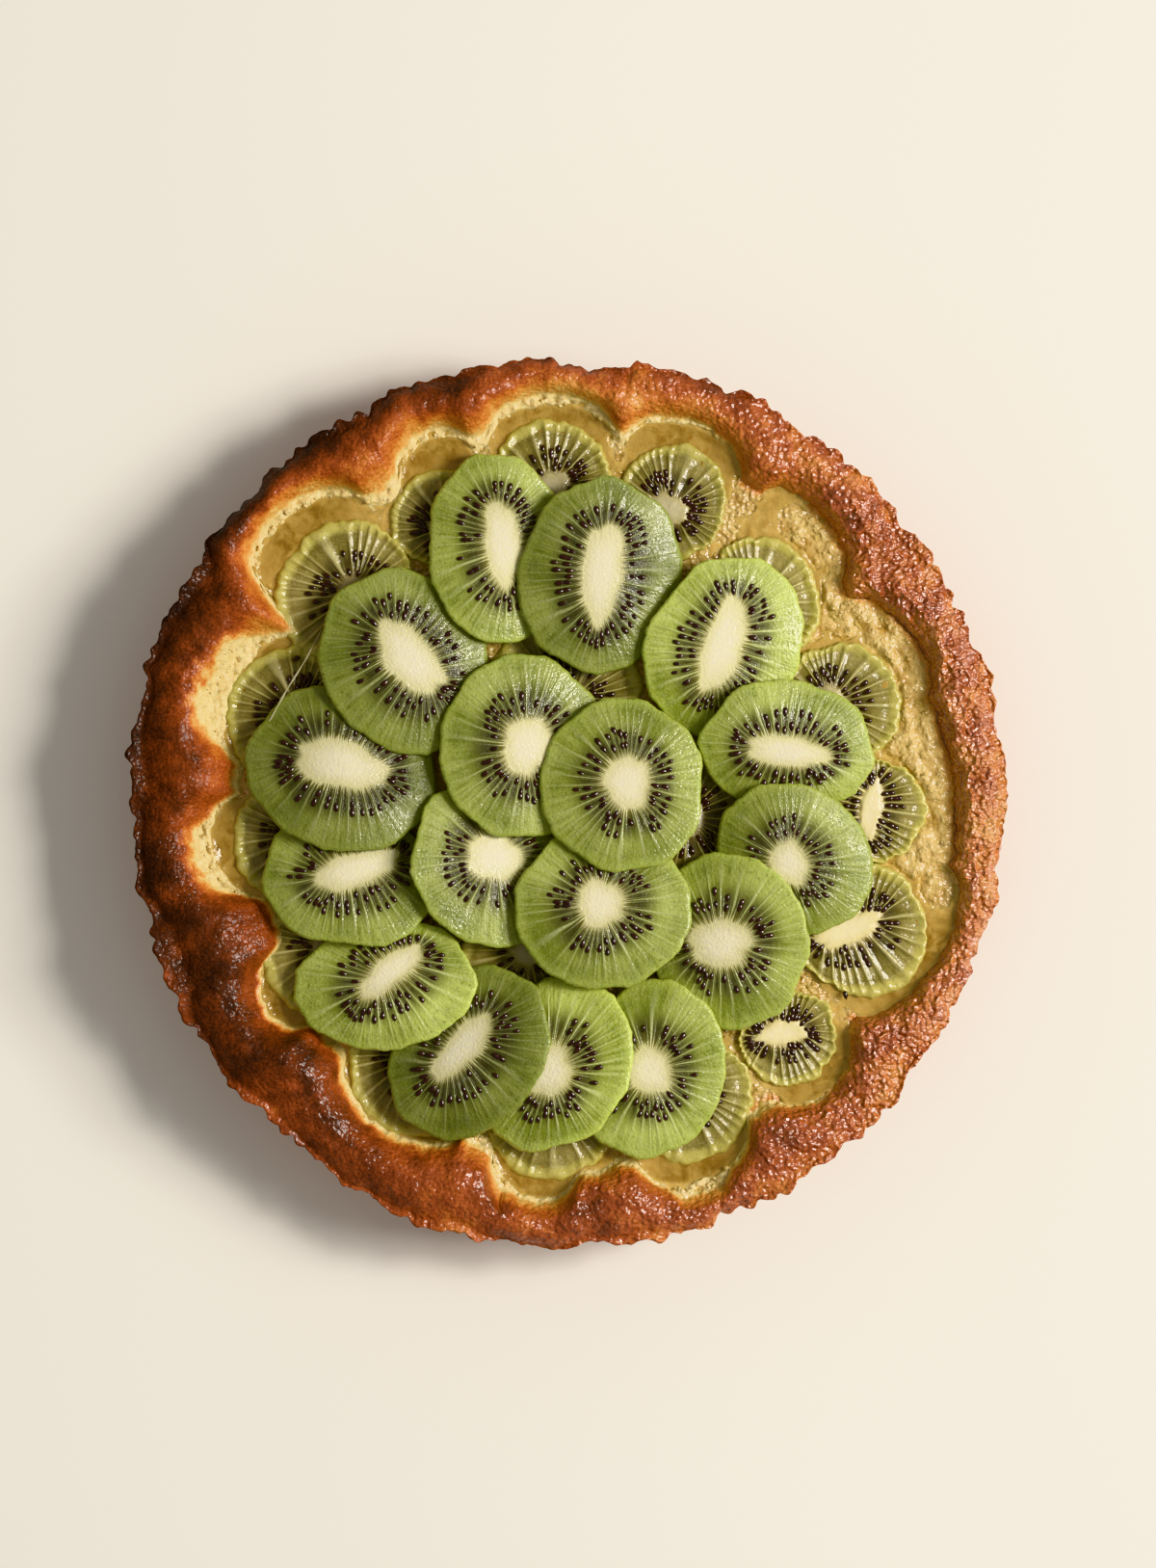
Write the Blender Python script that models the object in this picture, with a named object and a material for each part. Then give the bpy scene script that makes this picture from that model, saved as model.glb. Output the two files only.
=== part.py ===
"""A round kiwi tart, 24 cm across: a fluted sponge case with a puffed, browned rim, kiwi slices baked into its
top, and fresh kiwi slices laid over those. Metres, +Z up. The origin is under the middle of the flat base."""

import math
import random
from dataclasses import dataclass

import bmesh
import bpy
import numpy as np

MM = 0.001

# The sponge case: it took its fluted wall from a 24 cm tin, and its rim puffed up over the tin's edge
FLUTES = 60
BASE_RADIUS = 109.0 * MM
BASE_EDGE = 1.5 * MM
WALL_TOP_RADIUS = 116.6 * MM
WALL_TOP = 22.5 * MM
RIM_RADIUS = 118.9 * MM
RIM_EDGE = 26.0 * MM
FLUTE_DEPTH = 1.9 * MM
RIM_CRINKLE = 0.9 * MM
CREST_RISE = 8.0 * MM
CREST_WIDTH = 18.0 * MM
CREST_WIDENING = 0.35
CREST_FULLNESS = 0.62
BATTER_SWELL = 0.35 * MM
BATTER_SWELL_LENGTH = 62.0 * MM

# The sunk top inside the rim: level batter out to the rim's inner edge, which is scalloped round the baked slices.
# Each row is a cusp's bearing in degrees, its reach, and the bulge of the scallop that follows it anticlockwise.
WELL_TOP = 23.6 * MM
LEVEL_RING = 62.0 * MM
SCALLOP_FULLNESS = 0.55
WELL_CUSPS = (
    (16, 101.6, 5.5),
    (37, 93.9, 7.5),
    (60, 98.5, 8.0),
    (82, 98.1, 8.5),
    (104, 98.9, 7.5),
    (121, 95.0, 12.0),
    (145, 99.5, 0.0),
    (148, 85.0, 8.5),
    (176, 88.6, 10.0),
    (202, 84.0, 11.0),
    (225, 90.6, 9.0),
    (255, 92.2, 13.0),
    (279, 97.5, 10.5),
    (302, 100.6, 6.0),
    (322, 96.6, 7.0),
    (350, 105.2, 0.8),
)

# The kiwi slices
FRESH_THICK = 3.5 * MM
BAKED_THICK = 3.2 * MM
BAKED_SIDES = 14
BAKED_TOP = 24.9 * MM
BAKED_LEAN = 0.07
BAKED_WOBBLE = 0.02
KNIFE_CORNER = 1.03
CORNER_CUT = 0.12
EDGE_ROUNDING = 0.6 * MM
GAP = 0.3 * MM
BED_GAP = 0.48 * MM
LAYING_GAP = 0.5 * MM

# How the fresh slices settle: where they are tested against what they lie on, and how hard they resist
TEST_SPACING = 1.5 * MM
STIFFNESS = 0.06
CONTACT_PUSH = 4.0
SETTLING_ROUNDS = 80
SETTLING_STEP = 0.7
BEND_SPAN = 25.0 * MM

# The seeds that stand a little proud of the cut faces
SEED_LONG = 1.25 * MM
SEED_WIDE = 0.72 * MM
SEED_PROUD = 0.45 * MM
SEED_SUNK = 0.09 * MM
SEED_OUT = (2.6, 6.4)
SEEDS_ROUND = 15
SEED_CLEAR = 1.8 * MM


@dataclass
class Oval:
    """An oval in millimetres and degrees: its middle, its two widths, and the bearing of the longer one."""

    at: tuple
    across: tuple
    turn: float


@dataclass
class Slice(Oval):
    """A peeled kiwi slice: its outline, the bearings of the corners that the knife left, and its pale core."""

    corners: tuple
    core: Oval


# The outer ring of fresh slices, anticlockwise seen from above: each lies on the next one, all the way round
RING = (
    Slice((8.6, 61.3), (53.3, 44.2), 82, (5, 45, 85, 125, 176, 205, 230, 265, 290, 322),
          Oval((9.1, 61.6), (25.2, 10.9), 85)),
    Slice((-19.2, 68.5), (52.2, 37.9), 96, (5, 40, 75, 106, 145, 203, 236, 260, 286, 325),
          Oval((-17.7, 69.4), (22.1, 9.1), 100)),
    Slice((-43.9, 38.1), (52.8, 44.5), 122, (20, 58, 97, 138, 178, 207, 230, 262, 286, 330),
          Oval((-42.6, 38.7), (23.9, 10.9), 132)),
    Slice((-60.9, 8.8), (53.6, 43.7), 162, (20, 62, 104, 127, 167, 192, 226, 260, 300, 338),
          Oval((-61.1, 10.1), (25.5, 11.4), 165)),
    Slice((-59.3, -20.4), (48.1, 37.7), 171, (12, 48, 90, 146, 186, 217, 235, 296, 317, 345),
          Oval((-57.2, -18.2), (22.9, 8.3), 14)),
    Slice((-49.3, -48.8), (49.7, 35.4), 7, (2, 40, 85, 126, 170, 190, 212, 246, 276, 312, 342),
          Oval((-47.8, -45.5), (19.0, 7.3), 38)),
    Slice((-26.8, -67.5), (51.2, 39.0), 53, (10, 45, 78, 112, 150, 190, 222, 254, 276, 310, 348),
          Oval((-28.6, -66.0), (20.3, 8.3), 50)),
    Slice((-3.8, -70.8), (49.8, 40.0), 66, (2, 26, 52, 92, 140, 185, 226, 252, 300, 340),
          Oval((-5.2, -72.3), (13.0, 11.4), 90)),
    Slice((21.8, -72.1), (49.1, 40.2), 78, (20, 46, 75, 100, 150, 205, 232, 266, 300, 330, 355),
          Oval((21.6, -72.3), (12.0, 11.4), 0)),
    Slice((42.9, -37.6), (48.6, 43.2), 112, (26, 48, 72, 102, 140, 182, 222, 246, 274, 310, 355),
          Oval((40.8, -38.0), (17.2, 11.4), 0)),
    Slice((60.6, -15.4), (45.1, 38.6), 141, (2, 26, 52, 82, 117, 150, 192, 236, 282, 318, 342),
          Oval((59.3, -16.6), (11.4, 9.4), 90)),
    Slice((58.7, 15.1), (48.3, 35.5), 172, (24, 42, 86, 130, 176, 205, 226, 280, 322, 348),
          Oval((58.8, 13.5), (20.8, 7.8), 171)),
    Slice((41.8, 42.1), (50.6, 41.6), 68, (16, 40, 66, 106, 165, 186, 212, 240, 262, 296, 340),
          Oval((41.6, 42.1), (23.9, 10.4), 72)),
)

# The four in the middle, in the order in which they were laid on the ring and on one another
MIDDLE = (
    Slice((-20.8, -16.2), (47.7, 42.3), 126, (12, 52, 96, 136, 186, 222, 250, 278, 310, 345),
          Oval((-19.8, -14.8), (13.5, 12.2), 0)),
    Slice((-12.5, 14.8), (50.1, 44.1), 87, (8, 36, 72, 98, 126, 162, 192, 220, 252, 288, 325),
          Oval((-11.2, 15.1), (15.1, 11.4), 82)),
    Slice((9.0, -28.5), (47.6, 43.7), 176, (12, 44, 82, 122, 164, 196, 226, 256, 292, 328, 350),
          Oval((8.6, -27.3), (12.2, 11.4), 0)),
    Slice((14.7, 4.3), (47.4, 44.1), 98, (20, 42, 78, 106, 142, 172, 195, 216, 258, 300, 332),
          Oval((15.9, 5.2), (14.0, 11.2), 80)),
)

# The slices baked into the batter: fifteen round the edge, anticlockwise from the top, and three further in
BAKED = (
    Oval((-4.9, 86.6), (31.0, 30.4), 0),
    Oval((-33.6, 75.9), (27.0, 26.0), 0),
    Oval((-60.0, 56.8), (37.5, 34.6), 40),
    Oval((-75.9, 23.4), (35.4, 31.2), 70),
    Oval((-74.9, -10.4), (30.2, 29.0), 90),
    Oval((-66.3, -41.6), (30.2, 30.2), 0),
    Oval((-42.1, -71.8), (36.4, 33.3), 120),
    Oval((-4.7, -84.8), (33.8, 32.8), 0),
    Oval((31.7, -80.1), (33.3, 33.3), 0),
    Oval((59.0, -63.2), (25.5, 25.0), 0),
    Oval((79.0, -34.6), (34.3, 34.3), 0),
    Oval((81.9, -2.3), (28.1, 26.0), 0),
    Oval((72.8, 26.3), (32.2, 31.2), 0),
    Oval((52.5, 54.6), (28.6, 32.2), 20),
    Oval((27.8, 80.3), (31.2, 28.1), 60),
    Oval((-0.8, 28.6), (40.5, 40.0), 0),
    Oval((-11.7, -43.7), (34.0, 33.0), 30),
    Oval((34.3, -5.2), (32.0, 32.0), 0),
)

SPONGE_CRUST = ((0.55, 0.25, 0.08), 0.55)
FRESH_FLESH = ((0.42, 0.48, 0.12), 0.3)
BAKED_FLESH = ((0.36, 0.31, 0.08), 0.35)


def clear_scene():
    for thing in list(bpy.data.objects):
        bpy.data.objects.remove(thing)


def food_material(name, look):
    colour, roughness = look
    material = bpy.data.materials.new(name)
    material.use_nodes = True
    surface = material.node_tree.nodes["Principled BSDF"]
    surface.inputs["Base Color"].default_value = (*colour, 1.0)
    surface.inputs["Roughness"].default_value = roughness
    surface.inputs["Metallic"].default_value = 0.0
    return material


def finished(bm, name, material):
    """Turns a bmesh into a named object with its faces pointing out."""
    bmesh.ops.recalc_face_normals(bm, faces=bm.faces)
    mesh = bpy.data.meshes.new(name)
    bm.to_mesh(mesh)
    bm.free()
    thing = bpy.data.objects.new(name, mesh)
    bpy.context.scene.collection.objects.link(thing)
    mesh.materials.append(material)
    mesh.shade_smooth()
    mesh.set_sharp_from_angle(angle=math.radians(40))
    return thing


def combine(thing, tools, operation):
    """Cuts all the tools from a thing, or fuses them to it, in one Boolean, and removes the tools."""
    group = bpy.data.collections.new("tools")
    bpy.context.scene.collection.children.link(group)
    for tool in tools:
        bpy.context.scene.collection.objects.unlink(tool)
        group.objects.link(tool)
        tool.hide_render = True
        tool.display_type = "WIRE"
    boolean = thing.modifiers.new("tools", "BOOLEAN")
    boolean.operation = operation
    boolean.operand_type = "COLLECTION"
    boolean.collection = group
    boolean.solver = "EXACT"
    bpy.context.view_layer.update()
    graph = bpy.context.evaluated_depsgraph_get()
    mesh = bpy.data.meshes.new_from_object(thing.evaluated_get(graph))
    thing.modifiers.clear()
    thing.data = mesh
    for tool in tools:
        bpy.data.objects.remove(tool)
    bpy.data.collections.remove(group)


# Outlines of the slices

def ellipse_reach(piece, bearing, grow=0.0):
    """How far the slice reaches from its middle at a bearing in radians."""
    long, short = (width * MM / 2 + grow for width in piece.across)
    off_axis = bearing - math.radians(piece.turn)
    return long * short / np.hypot(short * np.cos(off_axis), long * np.sin(off_axis))


def knife_outline(piece):
    """A peeled slice's outline: straight knife cuts that meet at its corners, each corner slightly blunt."""
    corners = []
    for bearing in np.radians(piece.corners):
        reach = ellipse_reach(piece, bearing) * KNIFE_CORNER
        corners.append(np.array(piece.at) * MM + reach * np.array((math.cos(bearing), math.sin(bearing))))
    points = []
    for here, corner in enumerate(corners):
        before, after = corners[here - 1], corners[(here + 1) % len(corners)]
        points.append(corner + CORNER_CUT * (before - corner))
        points.append(corner + CORNER_CUT * (after - corner))
    return np.array(points)


def round_outline(piece, grow=0.0):
    """A baked slice's outline: an ellipse that has shrunk a little unevenly."""
    bearings = np.arange(BAKED_SIDES) * 2 * math.pi / BAKED_SIDES
    wobble = np.sin(3 * bearings + piece.at[0]) + np.sin(2 * bearings + piece.at[1])
    reach = ellipse_reach(piece, bearings, grow) * (1 + BAKED_WOBBLE * wobble)
    return np.array(piece.at) * MM + reach[:, None] * np.column_stack((np.cos(bearings), np.sin(bearings)))


def inside(outline, points, margin=0.0):
    """Which points lie inside a convex anticlockwise outline, or up to a margin outside it."""
    within = np.ones(len(points), bool)
    for start, end in zip(outline, np.roll(outline, -1, axis=0)):
        along = (end - start) / np.linalg.norm(end - start)
        offset = points - start
        within &= along[0] * offset[:, 1] - along[1] * offset[:, 0] > -margin
    return within


# The sponge case

def flute(bearing):
    """The tin's ripple: round lobes with sharper notches between them, from -1 in a notch to about 0.6."""
    return np.abs(np.cos(FLUTES * bearing / 2)) * 1.6 - 1.0


def rim_reach(bearing):
    """The crinkled outer edge of the rim."""
    slow = 0.5 * np.sin(2 * bearing + 0.4) + 0.4 * np.sin(5 * bearing + 2.0) + 0.3 * np.sin(9 * bearing)
    quick = 0.6 * np.sin(23 * bearing + 1.0) + 0.5 * np.sin(37 * bearing + 4.0)
    return RIM_RADIUS + RIM_CRINKLE * (slow + quick) + 0.5 * FLUTE_DEPTH * flute(bearing)


def well_reach(bearing):
    """The scalloped inner edge of the rim: a round bulge between each two cusps."""
    start, reach, bulge = np.array(WELL_CUSPS, float).T
    degrees = np.degrees(bearing) % 360
    here = (np.searchsorted(start, degrees, side="right") - 1) % len(start)
    after = (here + 1) % len(start)
    along = (degrees - start[here]) % 360 / ((start[after] - start[here]) % 360)
    swell = bulge[here] * (4 * along * (1 - along)) ** SCALLOP_FULLNESS
    return (reach[here] + (reach[after] - reach[here]) * along + swell) * MM


def sponge_top(x, y):
    """Height of the batter: level inside, then a crest from the well's edge to the rim's outer edge."""
    bearing = np.arctan2(y, x)
    inner = well_reach(bearing)
    width = rim_reach(bearing) - inner
    share = np.clip((np.hypot(x, y) - inner) / width, 0, 1)
    uneven = 1 + 0.10 * np.sin(3 * bearing + 1.1) + 0.06 * np.sin(7 * bearing) + 0.05 * np.sin(13 * bearing + 2)
    crest = CREST_RISE * uneven * (width / CREST_WIDTH) ** CREST_WIDENING
    crest = crest * (4 * share * (1 - share)) ** CREST_FULLNESS
    waves = 2 * math.pi / BATTER_SWELL_LENGTH
    swell = BATTER_SWELL * np.sin(waves * x) * np.sin(waves * y + 1) * (1 - share)
    return WELL_TOP + swell + (RIM_EDGE - WELL_TOP) * share + crest


def ring_of_points(count, radius_at, height_at):
    """One closed ring round the Z axis, as (x, y, z) rows."""
    bearings = np.arange(count) * 2 * math.pi / count
    radius = radius_at(bearings)
    x, y = radius * np.cos(bearings), radius * np.sin(bearings)
    return np.column_stack((x, y, height_at(x, y)))


def skin(bm, rings):
    """Joins each ring to the next, which has as many points, half as many, or twice as many."""
    loops = [[bm.verts.new(point) for point in ring] for ring in rings]
    for one, other in zip(loops, loops[1:]):
        many, few = (one, other) if len(one) >= len(other) else (other, one)
        step = len(many) // len(few)
        for here, vertex in enumerate(few):
            following = few[(here + 1) % len(few)]
            first, last = many[here * step], many[(here + 1) * step % len(many)]
            if step == 1:
                bm.faces.new((first, last, following, vertex))
                continue
            between = many[here * step + 1]
            bm.faces.new((first, between, vertex))
            bm.faces.new((between, following, vertex))
            bm.faces.new((between, last, following))
    return loops


def sponge_case(material):
    """The whole case as one solid, from its flat base up the fluted wall, over the rim and in to the middle."""
    fine = FLUTES * 3
    rings = []
    for height, radius, share in (
        (0.0, BASE_RADIUS - BASE_EDGE, 0.35),
        (BASE_EDGE, BASE_RADIUS, 0.6),
        (WALL_TOP, WALL_TOP_RADIUS, 1.0),
    ):
        rings.append(ring_of_points(
            fine,
            lambda bearing: radius + FLUTE_DEPTH * share * flute(bearing),
            lambda x, y: np.full_like(x, height),
        ))
    for share in (1.0, 0.86, 0.62, 0.36, 0.12, 0.0):
        rings.append(ring_of_points(
            fine,
            lambda bearing: well_reach(bearing) + (rim_reach(bearing) - well_reach(bearing)) * share,
            sponge_top,
        ))
    rings.append(ring_of_points(fine // 2, lambda bearing: np.full_like(bearing, LEVEL_RING), sponge_top))
    bm = bmesh.new()
    loops = skin(bm, rings)
    bm.faces.new(reversed(loops[0]))
    bm.faces.new(loops[-1])
    bmesh.ops.triangulate(bm, faces=bm.faces)
    return finished(bm, "sponge_case", material)


# Slices as solids

def slice_solid(name, piece, outline, underside, thickness, material, bends=False):
    """A slice whose underside follows a height function. Its wall is upright, and its top edge is rounded over.
    One that bends has a ring half way in on both faces. Its origin is the middle of its underside."""
    middle = np.array(piece.at) * MM
    origin = np.append(middle, underside(*middle[:, None]))
    rounding = EDGE_ROUNDING / np.linalg.norm(outline - middle, axis=1).mean()

    def ring(points, share, lift):
        points = middle + (points - middle) * share
        return np.column_stack((points, underside(points[:, 0], points[:, 1]) + lift)) - origin

    rings = [
        ring(outline, 1.0, 0.0),
        ring(outline, 1.0, thickness - EDGE_ROUNDING),
        ring(outline, 1.0 - rounding, thickness),
    ]
    if bends:
        half_as_many = (outline[0::2] + outline[1::2]) / 2
        rings.insert(0, ring(half_as_many, 0.5, 0.0))
        rings.append(ring(half_as_many, 0.5, thickness))
    bm = bmesh.new()
    loops = skin(bm, rings)
    bm.faces.new(reversed(loops[0]))
    bm.faces.new(loops[-1])
    bmesh.ops.triangulate(bm, faces=bm.faces)
    thing = finished(bm, name, material)
    thing.location = origin
    return thing


def baked_top(piece):
    """The top of a baked slice, which leans a little towards the rim."""
    middle = np.array(piece.at) * MM
    outward = middle / RIM_RADIUS
    return lambda x, y: BAKED_TOP - BAKED_LEAN * ((x - middle[0]) * outward[0] + (y - middle[1]) * outward[1])


def baked_slice(name, piece, material, gap=0.0, below=0.0, thickness=BAKED_THICK):
    top = baked_top(piece)
    outline = round_outline(piece, gap)
    return slice_solid(name, piece, outline, lambda x, y: top(x, y) - BAKED_THICK - below, thickness, material)


def baked_slices(case, material):
    """Each baked slice sits in the bed that it pressed into the batter, a hair wider and deeper than itself."""
    beds = []
    for number, piece in enumerate(BAKED, 1):
        baked_slice(f"baked_kiwi_{number:02d}", piece, material)
        beds.append(baked_slice("bed", piece, material, BED_GAP, GAP, 3 * BAKED_THICK))
    combine(case, beds, "DIFFERENCE")


# How the fresh slices come to rest

def bend_terms(piece, points):
    """The six terms of a slice's height: level, two slopes and three gentle bends, for points in its own frame."""
    u, v = ((points - np.array(piece.at) * MM) / BEND_SPAN).T
    return np.column_stack((np.ones(len(u)), u, v, u * u, u * v, v * v))


def lies_on(upper, lower):
    """Whether the first slice, by number, lies on the second: the ring is closed, and the middle lies on the ring."""
    ring = len(RING)
    if upper < ring and lower < ring:
        return (upper + 1) % ring == lower
    return upper > lower


def floor_under(points):
    """The highest of the batter and the baked slices below each point, or a millimetre away from it."""
    x, y = points.T
    steps = ((0, 0), (MM, 0), (-MM, 0), (0, MM), (0, -MM))
    level = np.max([sponge_top(x + dx, y + dy) for dx, dy in steps], axis=0)
    for piece in BAKED:
        covered = inside(round_outline(piece), points, GAP)
        level = np.where(covered, np.maximum(level, baked_top(piece)(points[:, 0], points[:, 1])), level)
    return level


def settle(fresh, outlines):
    """Lets all the fresh slices down at once, since the ring overlaps all the way round as a camera iris does.
    Gravity pulls each one down, it resists bending, and it may not enter what it lies on."""
    span = np.arange(-RIM_RADIUS, RIM_RADIUS, TEST_SPACING)
    grid = np.array(np.meshgrid(span, span)).reshape(2, -1).T
    covers = [inside(outline, grid, GAP) for outline in outlines]
    count = 6 * len(fresh)
    rows, least, pull = [], [], np.zeros(count)

    def keep_apart(upper, lower, points, distance):
        block = np.zeros((len(points), count))
        block[:, 6 * upper:6 * upper + 6] = bend_terms(fresh[upper], points)
        if lower is not None:
            block[:, 6 * lower:6 * lower + 6] = -bend_terms(fresh[lower], points)
        rows.append(block)
        least.append(distance / MM)

    for upper, piece in enumerate(fresh):
        points = grid[covers[upper]]
        pull[6 * upper:6 * upper + 6] = bend_terms(piece, points).mean(axis=0)
        keep_apart(upper, None, points, floor_under(points) + LAYING_GAP)
        for lower in range(len(fresh)):
            shared = grid[covers[upper] & covers[lower]]
            if lower != upper and len(shared) and lies_on(upper, lower):
                keep_apart(upper, lower, shared, np.full(len(shared), FRESH_THICK + LAYING_GAP))

    rows, least = np.vstack(rows), np.concatenate(least)
    resist = np.diag(np.tile((1e-4, 1e-2, 1e-2, 1, 1, 1), len(fresh)) * STIFFNESS)
    shape = np.tile((RIM_EDGE / MM, 0, 0, 0, 0, 0), len(fresh))
    for _ in range(SETTLING_ROUNDS):
        pressed = rows @ shape < least
        contact = CONTACT_PUSH * rows[pressed].T
        wanted = np.linalg.solve(contact @ rows[pressed] + resist, contact @ least[pressed] - pull)
        shape = shape + SETTLING_STEP * (wanted - shape)
    return shape.reshape(len(fresh), 6) * MM


def exposed(number, outlines, points):
    """Which points of a fresh slice no slice above it hides, with room to spare."""
    free = np.ones(len(points), bool)
    for upper, outline in enumerate(outlines):
        if upper != number and not lies_on(number, upper):
            free &= ~inside(outline, points, SEED_CLEAR)
    return free


def seed_places(piece, draw):
    """A broken ring of seeds round the pale core: their places, and the bearing that each points along."""
    bearings = (np.arange(SEEDS_ROUND) + draw.random()) * 2 * math.pi / SEEDS_ROUND
    outward = np.column_stack((np.cos(bearings), np.sin(bearings)))
    reach = [ellipse_reach(piece.core, bearing, draw.uniform(*SEED_OUT) * MM) for bearing in bearings]
    return np.array(piece.core.at) * MM + np.array(reach)[:, None] * outward, bearings


def add_seeds(thing, places, bearings, top):
    """Seeds that stand a little proud of the cut face, fused to it."""
    seeds = []
    for place, bearing in zip(places, bearings):
        bm = bmesh.new()
        bmesh.ops.create_uvsphere(bm, u_segments=4, v_segments=2, radius=1.0)
        bmesh.ops.scale(bm, vec=(SEED_LONG, SEED_WIDE, SEED_PROUD), verts=bm.verts)
        seed = finished(bm, "seed", thing.data.materials[0])
        seed.rotation_euler = (0, 0, bearing)
        seed.location = (*place, top(*place[:, None])[0] + SEED_SUNK)
        seeds.append(seed)
    combine(thing, seeds, "UNION")


def fresh_slices(material):
    draw = random.Random(7)
    fresh = RING + MIDDLE
    outlines = [knife_outline(piece) for piece in fresh]
    shapes = settle(fresh, outlines)
    for number, (piece, outline, shape) in enumerate(zip(fresh, outlines, shapes)):

        def underside(x, y):
            return bend_terms(piece, np.column_stack((x, y))) @ shape

        name = f"fresh_kiwi_{number + 1:02d}"
        thing = slice_solid(name, piece, outline, underside, FRESH_THICK, material, bends=True)
        places, bearings = seed_places(piece, draw)
        showing = exposed(number, outlines, places) & inside(outline, places, -SEED_CLEAR)
        add_seeds(thing, places[showing], bearings[showing], lambda x, y: underside(x, y) + FRESH_THICK)


def build_tart():
    clear_scene()
    case = sponge_case(food_material("baked sponge", SPONGE_CRUST))
    baked_slices(case, food_material("baked kiwi", BAKED_FLESH))
    fresh_slices(food_material("fresh kiwi", FRESH_FLESH))


build_tart()
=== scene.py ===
import math
import random

import bpy
import numpy as np
from mathutils import Euler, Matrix, Vector, geometry, noise


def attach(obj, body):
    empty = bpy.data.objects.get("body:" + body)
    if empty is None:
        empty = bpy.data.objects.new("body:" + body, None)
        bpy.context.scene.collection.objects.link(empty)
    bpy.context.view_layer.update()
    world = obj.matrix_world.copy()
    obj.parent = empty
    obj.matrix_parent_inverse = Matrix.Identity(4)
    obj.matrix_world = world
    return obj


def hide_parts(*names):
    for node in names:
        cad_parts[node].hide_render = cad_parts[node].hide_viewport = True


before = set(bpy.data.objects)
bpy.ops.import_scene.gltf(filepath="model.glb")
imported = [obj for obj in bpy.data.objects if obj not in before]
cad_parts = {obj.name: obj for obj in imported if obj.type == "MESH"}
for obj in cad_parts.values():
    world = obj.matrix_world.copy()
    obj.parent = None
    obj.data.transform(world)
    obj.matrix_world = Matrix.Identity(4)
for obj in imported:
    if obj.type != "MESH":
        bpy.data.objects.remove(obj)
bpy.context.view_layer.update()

# View and light
# The tart is seen from straight above, as one looks down at a table. A window to the right gives the light,
# softly through a curtain and brighter through one clear pane, which makes what is wet glint. The room round
# it is pale.
MM = 0.001
PHOTO_HEIGHT = 1627
PHOTO_PIXEL = 0.26 * MM
VIEW_MIDDLE = (2.6 * MM, 4.8 * MM)
VIEW_DISTANCE = 1.55
FRUIT_LEVEL = 28 * MM
LIGHT_DISTANCE = 1.3
# Each light: its bearing and height in degrees, its two sides in metres, its power and its colour
LIGHTS = {
    "window": (6, 42, (0.55, 0.55), 17.5, "#fffaf2"),
    "clear pane": (12, 50, (0.2, 0.2), 4.5, "#fff8ec"),
}
ROOM_LIGHT = 0.42


def linear(code):
    """An sRGB hex colour as linear red, green, blue and alpha."""
    parts = [int(code[i:i + 2], 16) / 255 for i in (1, 3, 5)]
    return [p / 12.92 if p <= 0.04045 else ((p + 0.055) / 1.055) ** 2.4 for p in parts] + [1.0]


def fill(node, inputs):
    """Fills in a node. A key is a socket's name or number, or a property. A node or a socket is linked, and
    a hex colour is turned to linear."""
    for key, value in inputs.items():
        if isinstance(value, bpy.types.Node):
            value = next(output for output in value.outputs if output.enabled)
        if isinstance(value, str) and value.startswith("#"):
            value = linear(value)
        if isinstance(value, bpy.types.NodeSocket):
            node.id_data.links.new(value, node.inputs[key])
        elif isinstance(key, int) or key in node.inputs:
            node.inputs[key].default_value = value
        else:
            setattr(node, key, value)


bpy.ops.object.select_all(action="DESELECT")
bpy.ops.object.camera_add(location=(*VIEW_MIDDLE, FRUIT_LEVEL + VIEW_DISTANCE))
camera = bpy.context.object
camera.data.lens = camera.data.sensor_width * VIEW_DISTANCE / (PHOTO_HEIGHT * PHOTO_PIXEL)
bpy.context.scene.camera = camera

for name, (turn, lift, sides, power, tint) in LIGHTS.items():
    toward = Euler((0, -math.radians(lift), math.radians(turn))).to_matrix() @ Vector((1, 0, 0))
    bpy.ops.object.light_add(type="AREA", location=toward * LIGHT_DISTANCE)
    light = bpy.context.object
    light.name = name
    light.rotation_euler = toward.to_track_quat("Z", "Y").to_euler()
    light.data.shape = "RECTANGLE"
    light.data.size, light.data.size_y = sides
    light.data.energy = power
    light.data.color = linear(tint)[:3]

world = bpy.data.worlds.new("pale room")
world.use_nodes = True
fill(world.node_tree.nodes["Background"], {"Color": "#f1eee8", "Strength": ROOM_LIGHT})
bpy.context.scene.world = world
bpy.context.scene.view_settings.view_transform = "Khronos PBR Neutral"

# Table
# A plain pale table top of painted board. It is only there to stand the tart on.
TABLE_SIZE = 10.0


def start_piece(name, primitive, **sizes):
    """Adds a primitive to shape, with nothing else selected."""
    bpy.ops.object.select_all(action="DESELECT")
    primitive(**sizes)
    piece = bpy.context.object
    piece.name = name
    return piece


def new_material(name):
    """A material, its node tree and the shader of its surface."""
    material = bpy.data.materials.new(name)
    material.use_nodes = True
    return material, material.node_tree, material.node_tree.nodes["Principled BSDF"]


table = start_piece("table", bpy.ops.mesh.primitive_plane_add, size=TABLE_SIZE)
# Painted board is matt and even, and has no pattern of its own
painted_board, tree, surface = new_material("painted board")
fill(surface, {"Base Color": "#f3efe7", "Roughness": 0.6})
table.data.materials.append(painted_board)

# Sponge case
# One uncut sponge cake, baked in a fluted 24 cm tin of which it keeps the ripples. Its rim puffed up over
# the tin and browned, and the batter inside stayed pale and soaked up the juice of the fruit on it.
FLUTES = 60
BASE_RADIUS = 109.0 * MM
BASE_EDGE = 1.5 * MM
WALL_TOP_RADIUS = 116.6 * MM
WALL_TOP = 22.5 * MM
RIM_RADIUS = 118.9 * MM
RIM_EDGE = 26.0 * MM
FLUTE_DEPTH = 1.9 * MM
RIM_CRINKLE = 0.9 * MM
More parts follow.
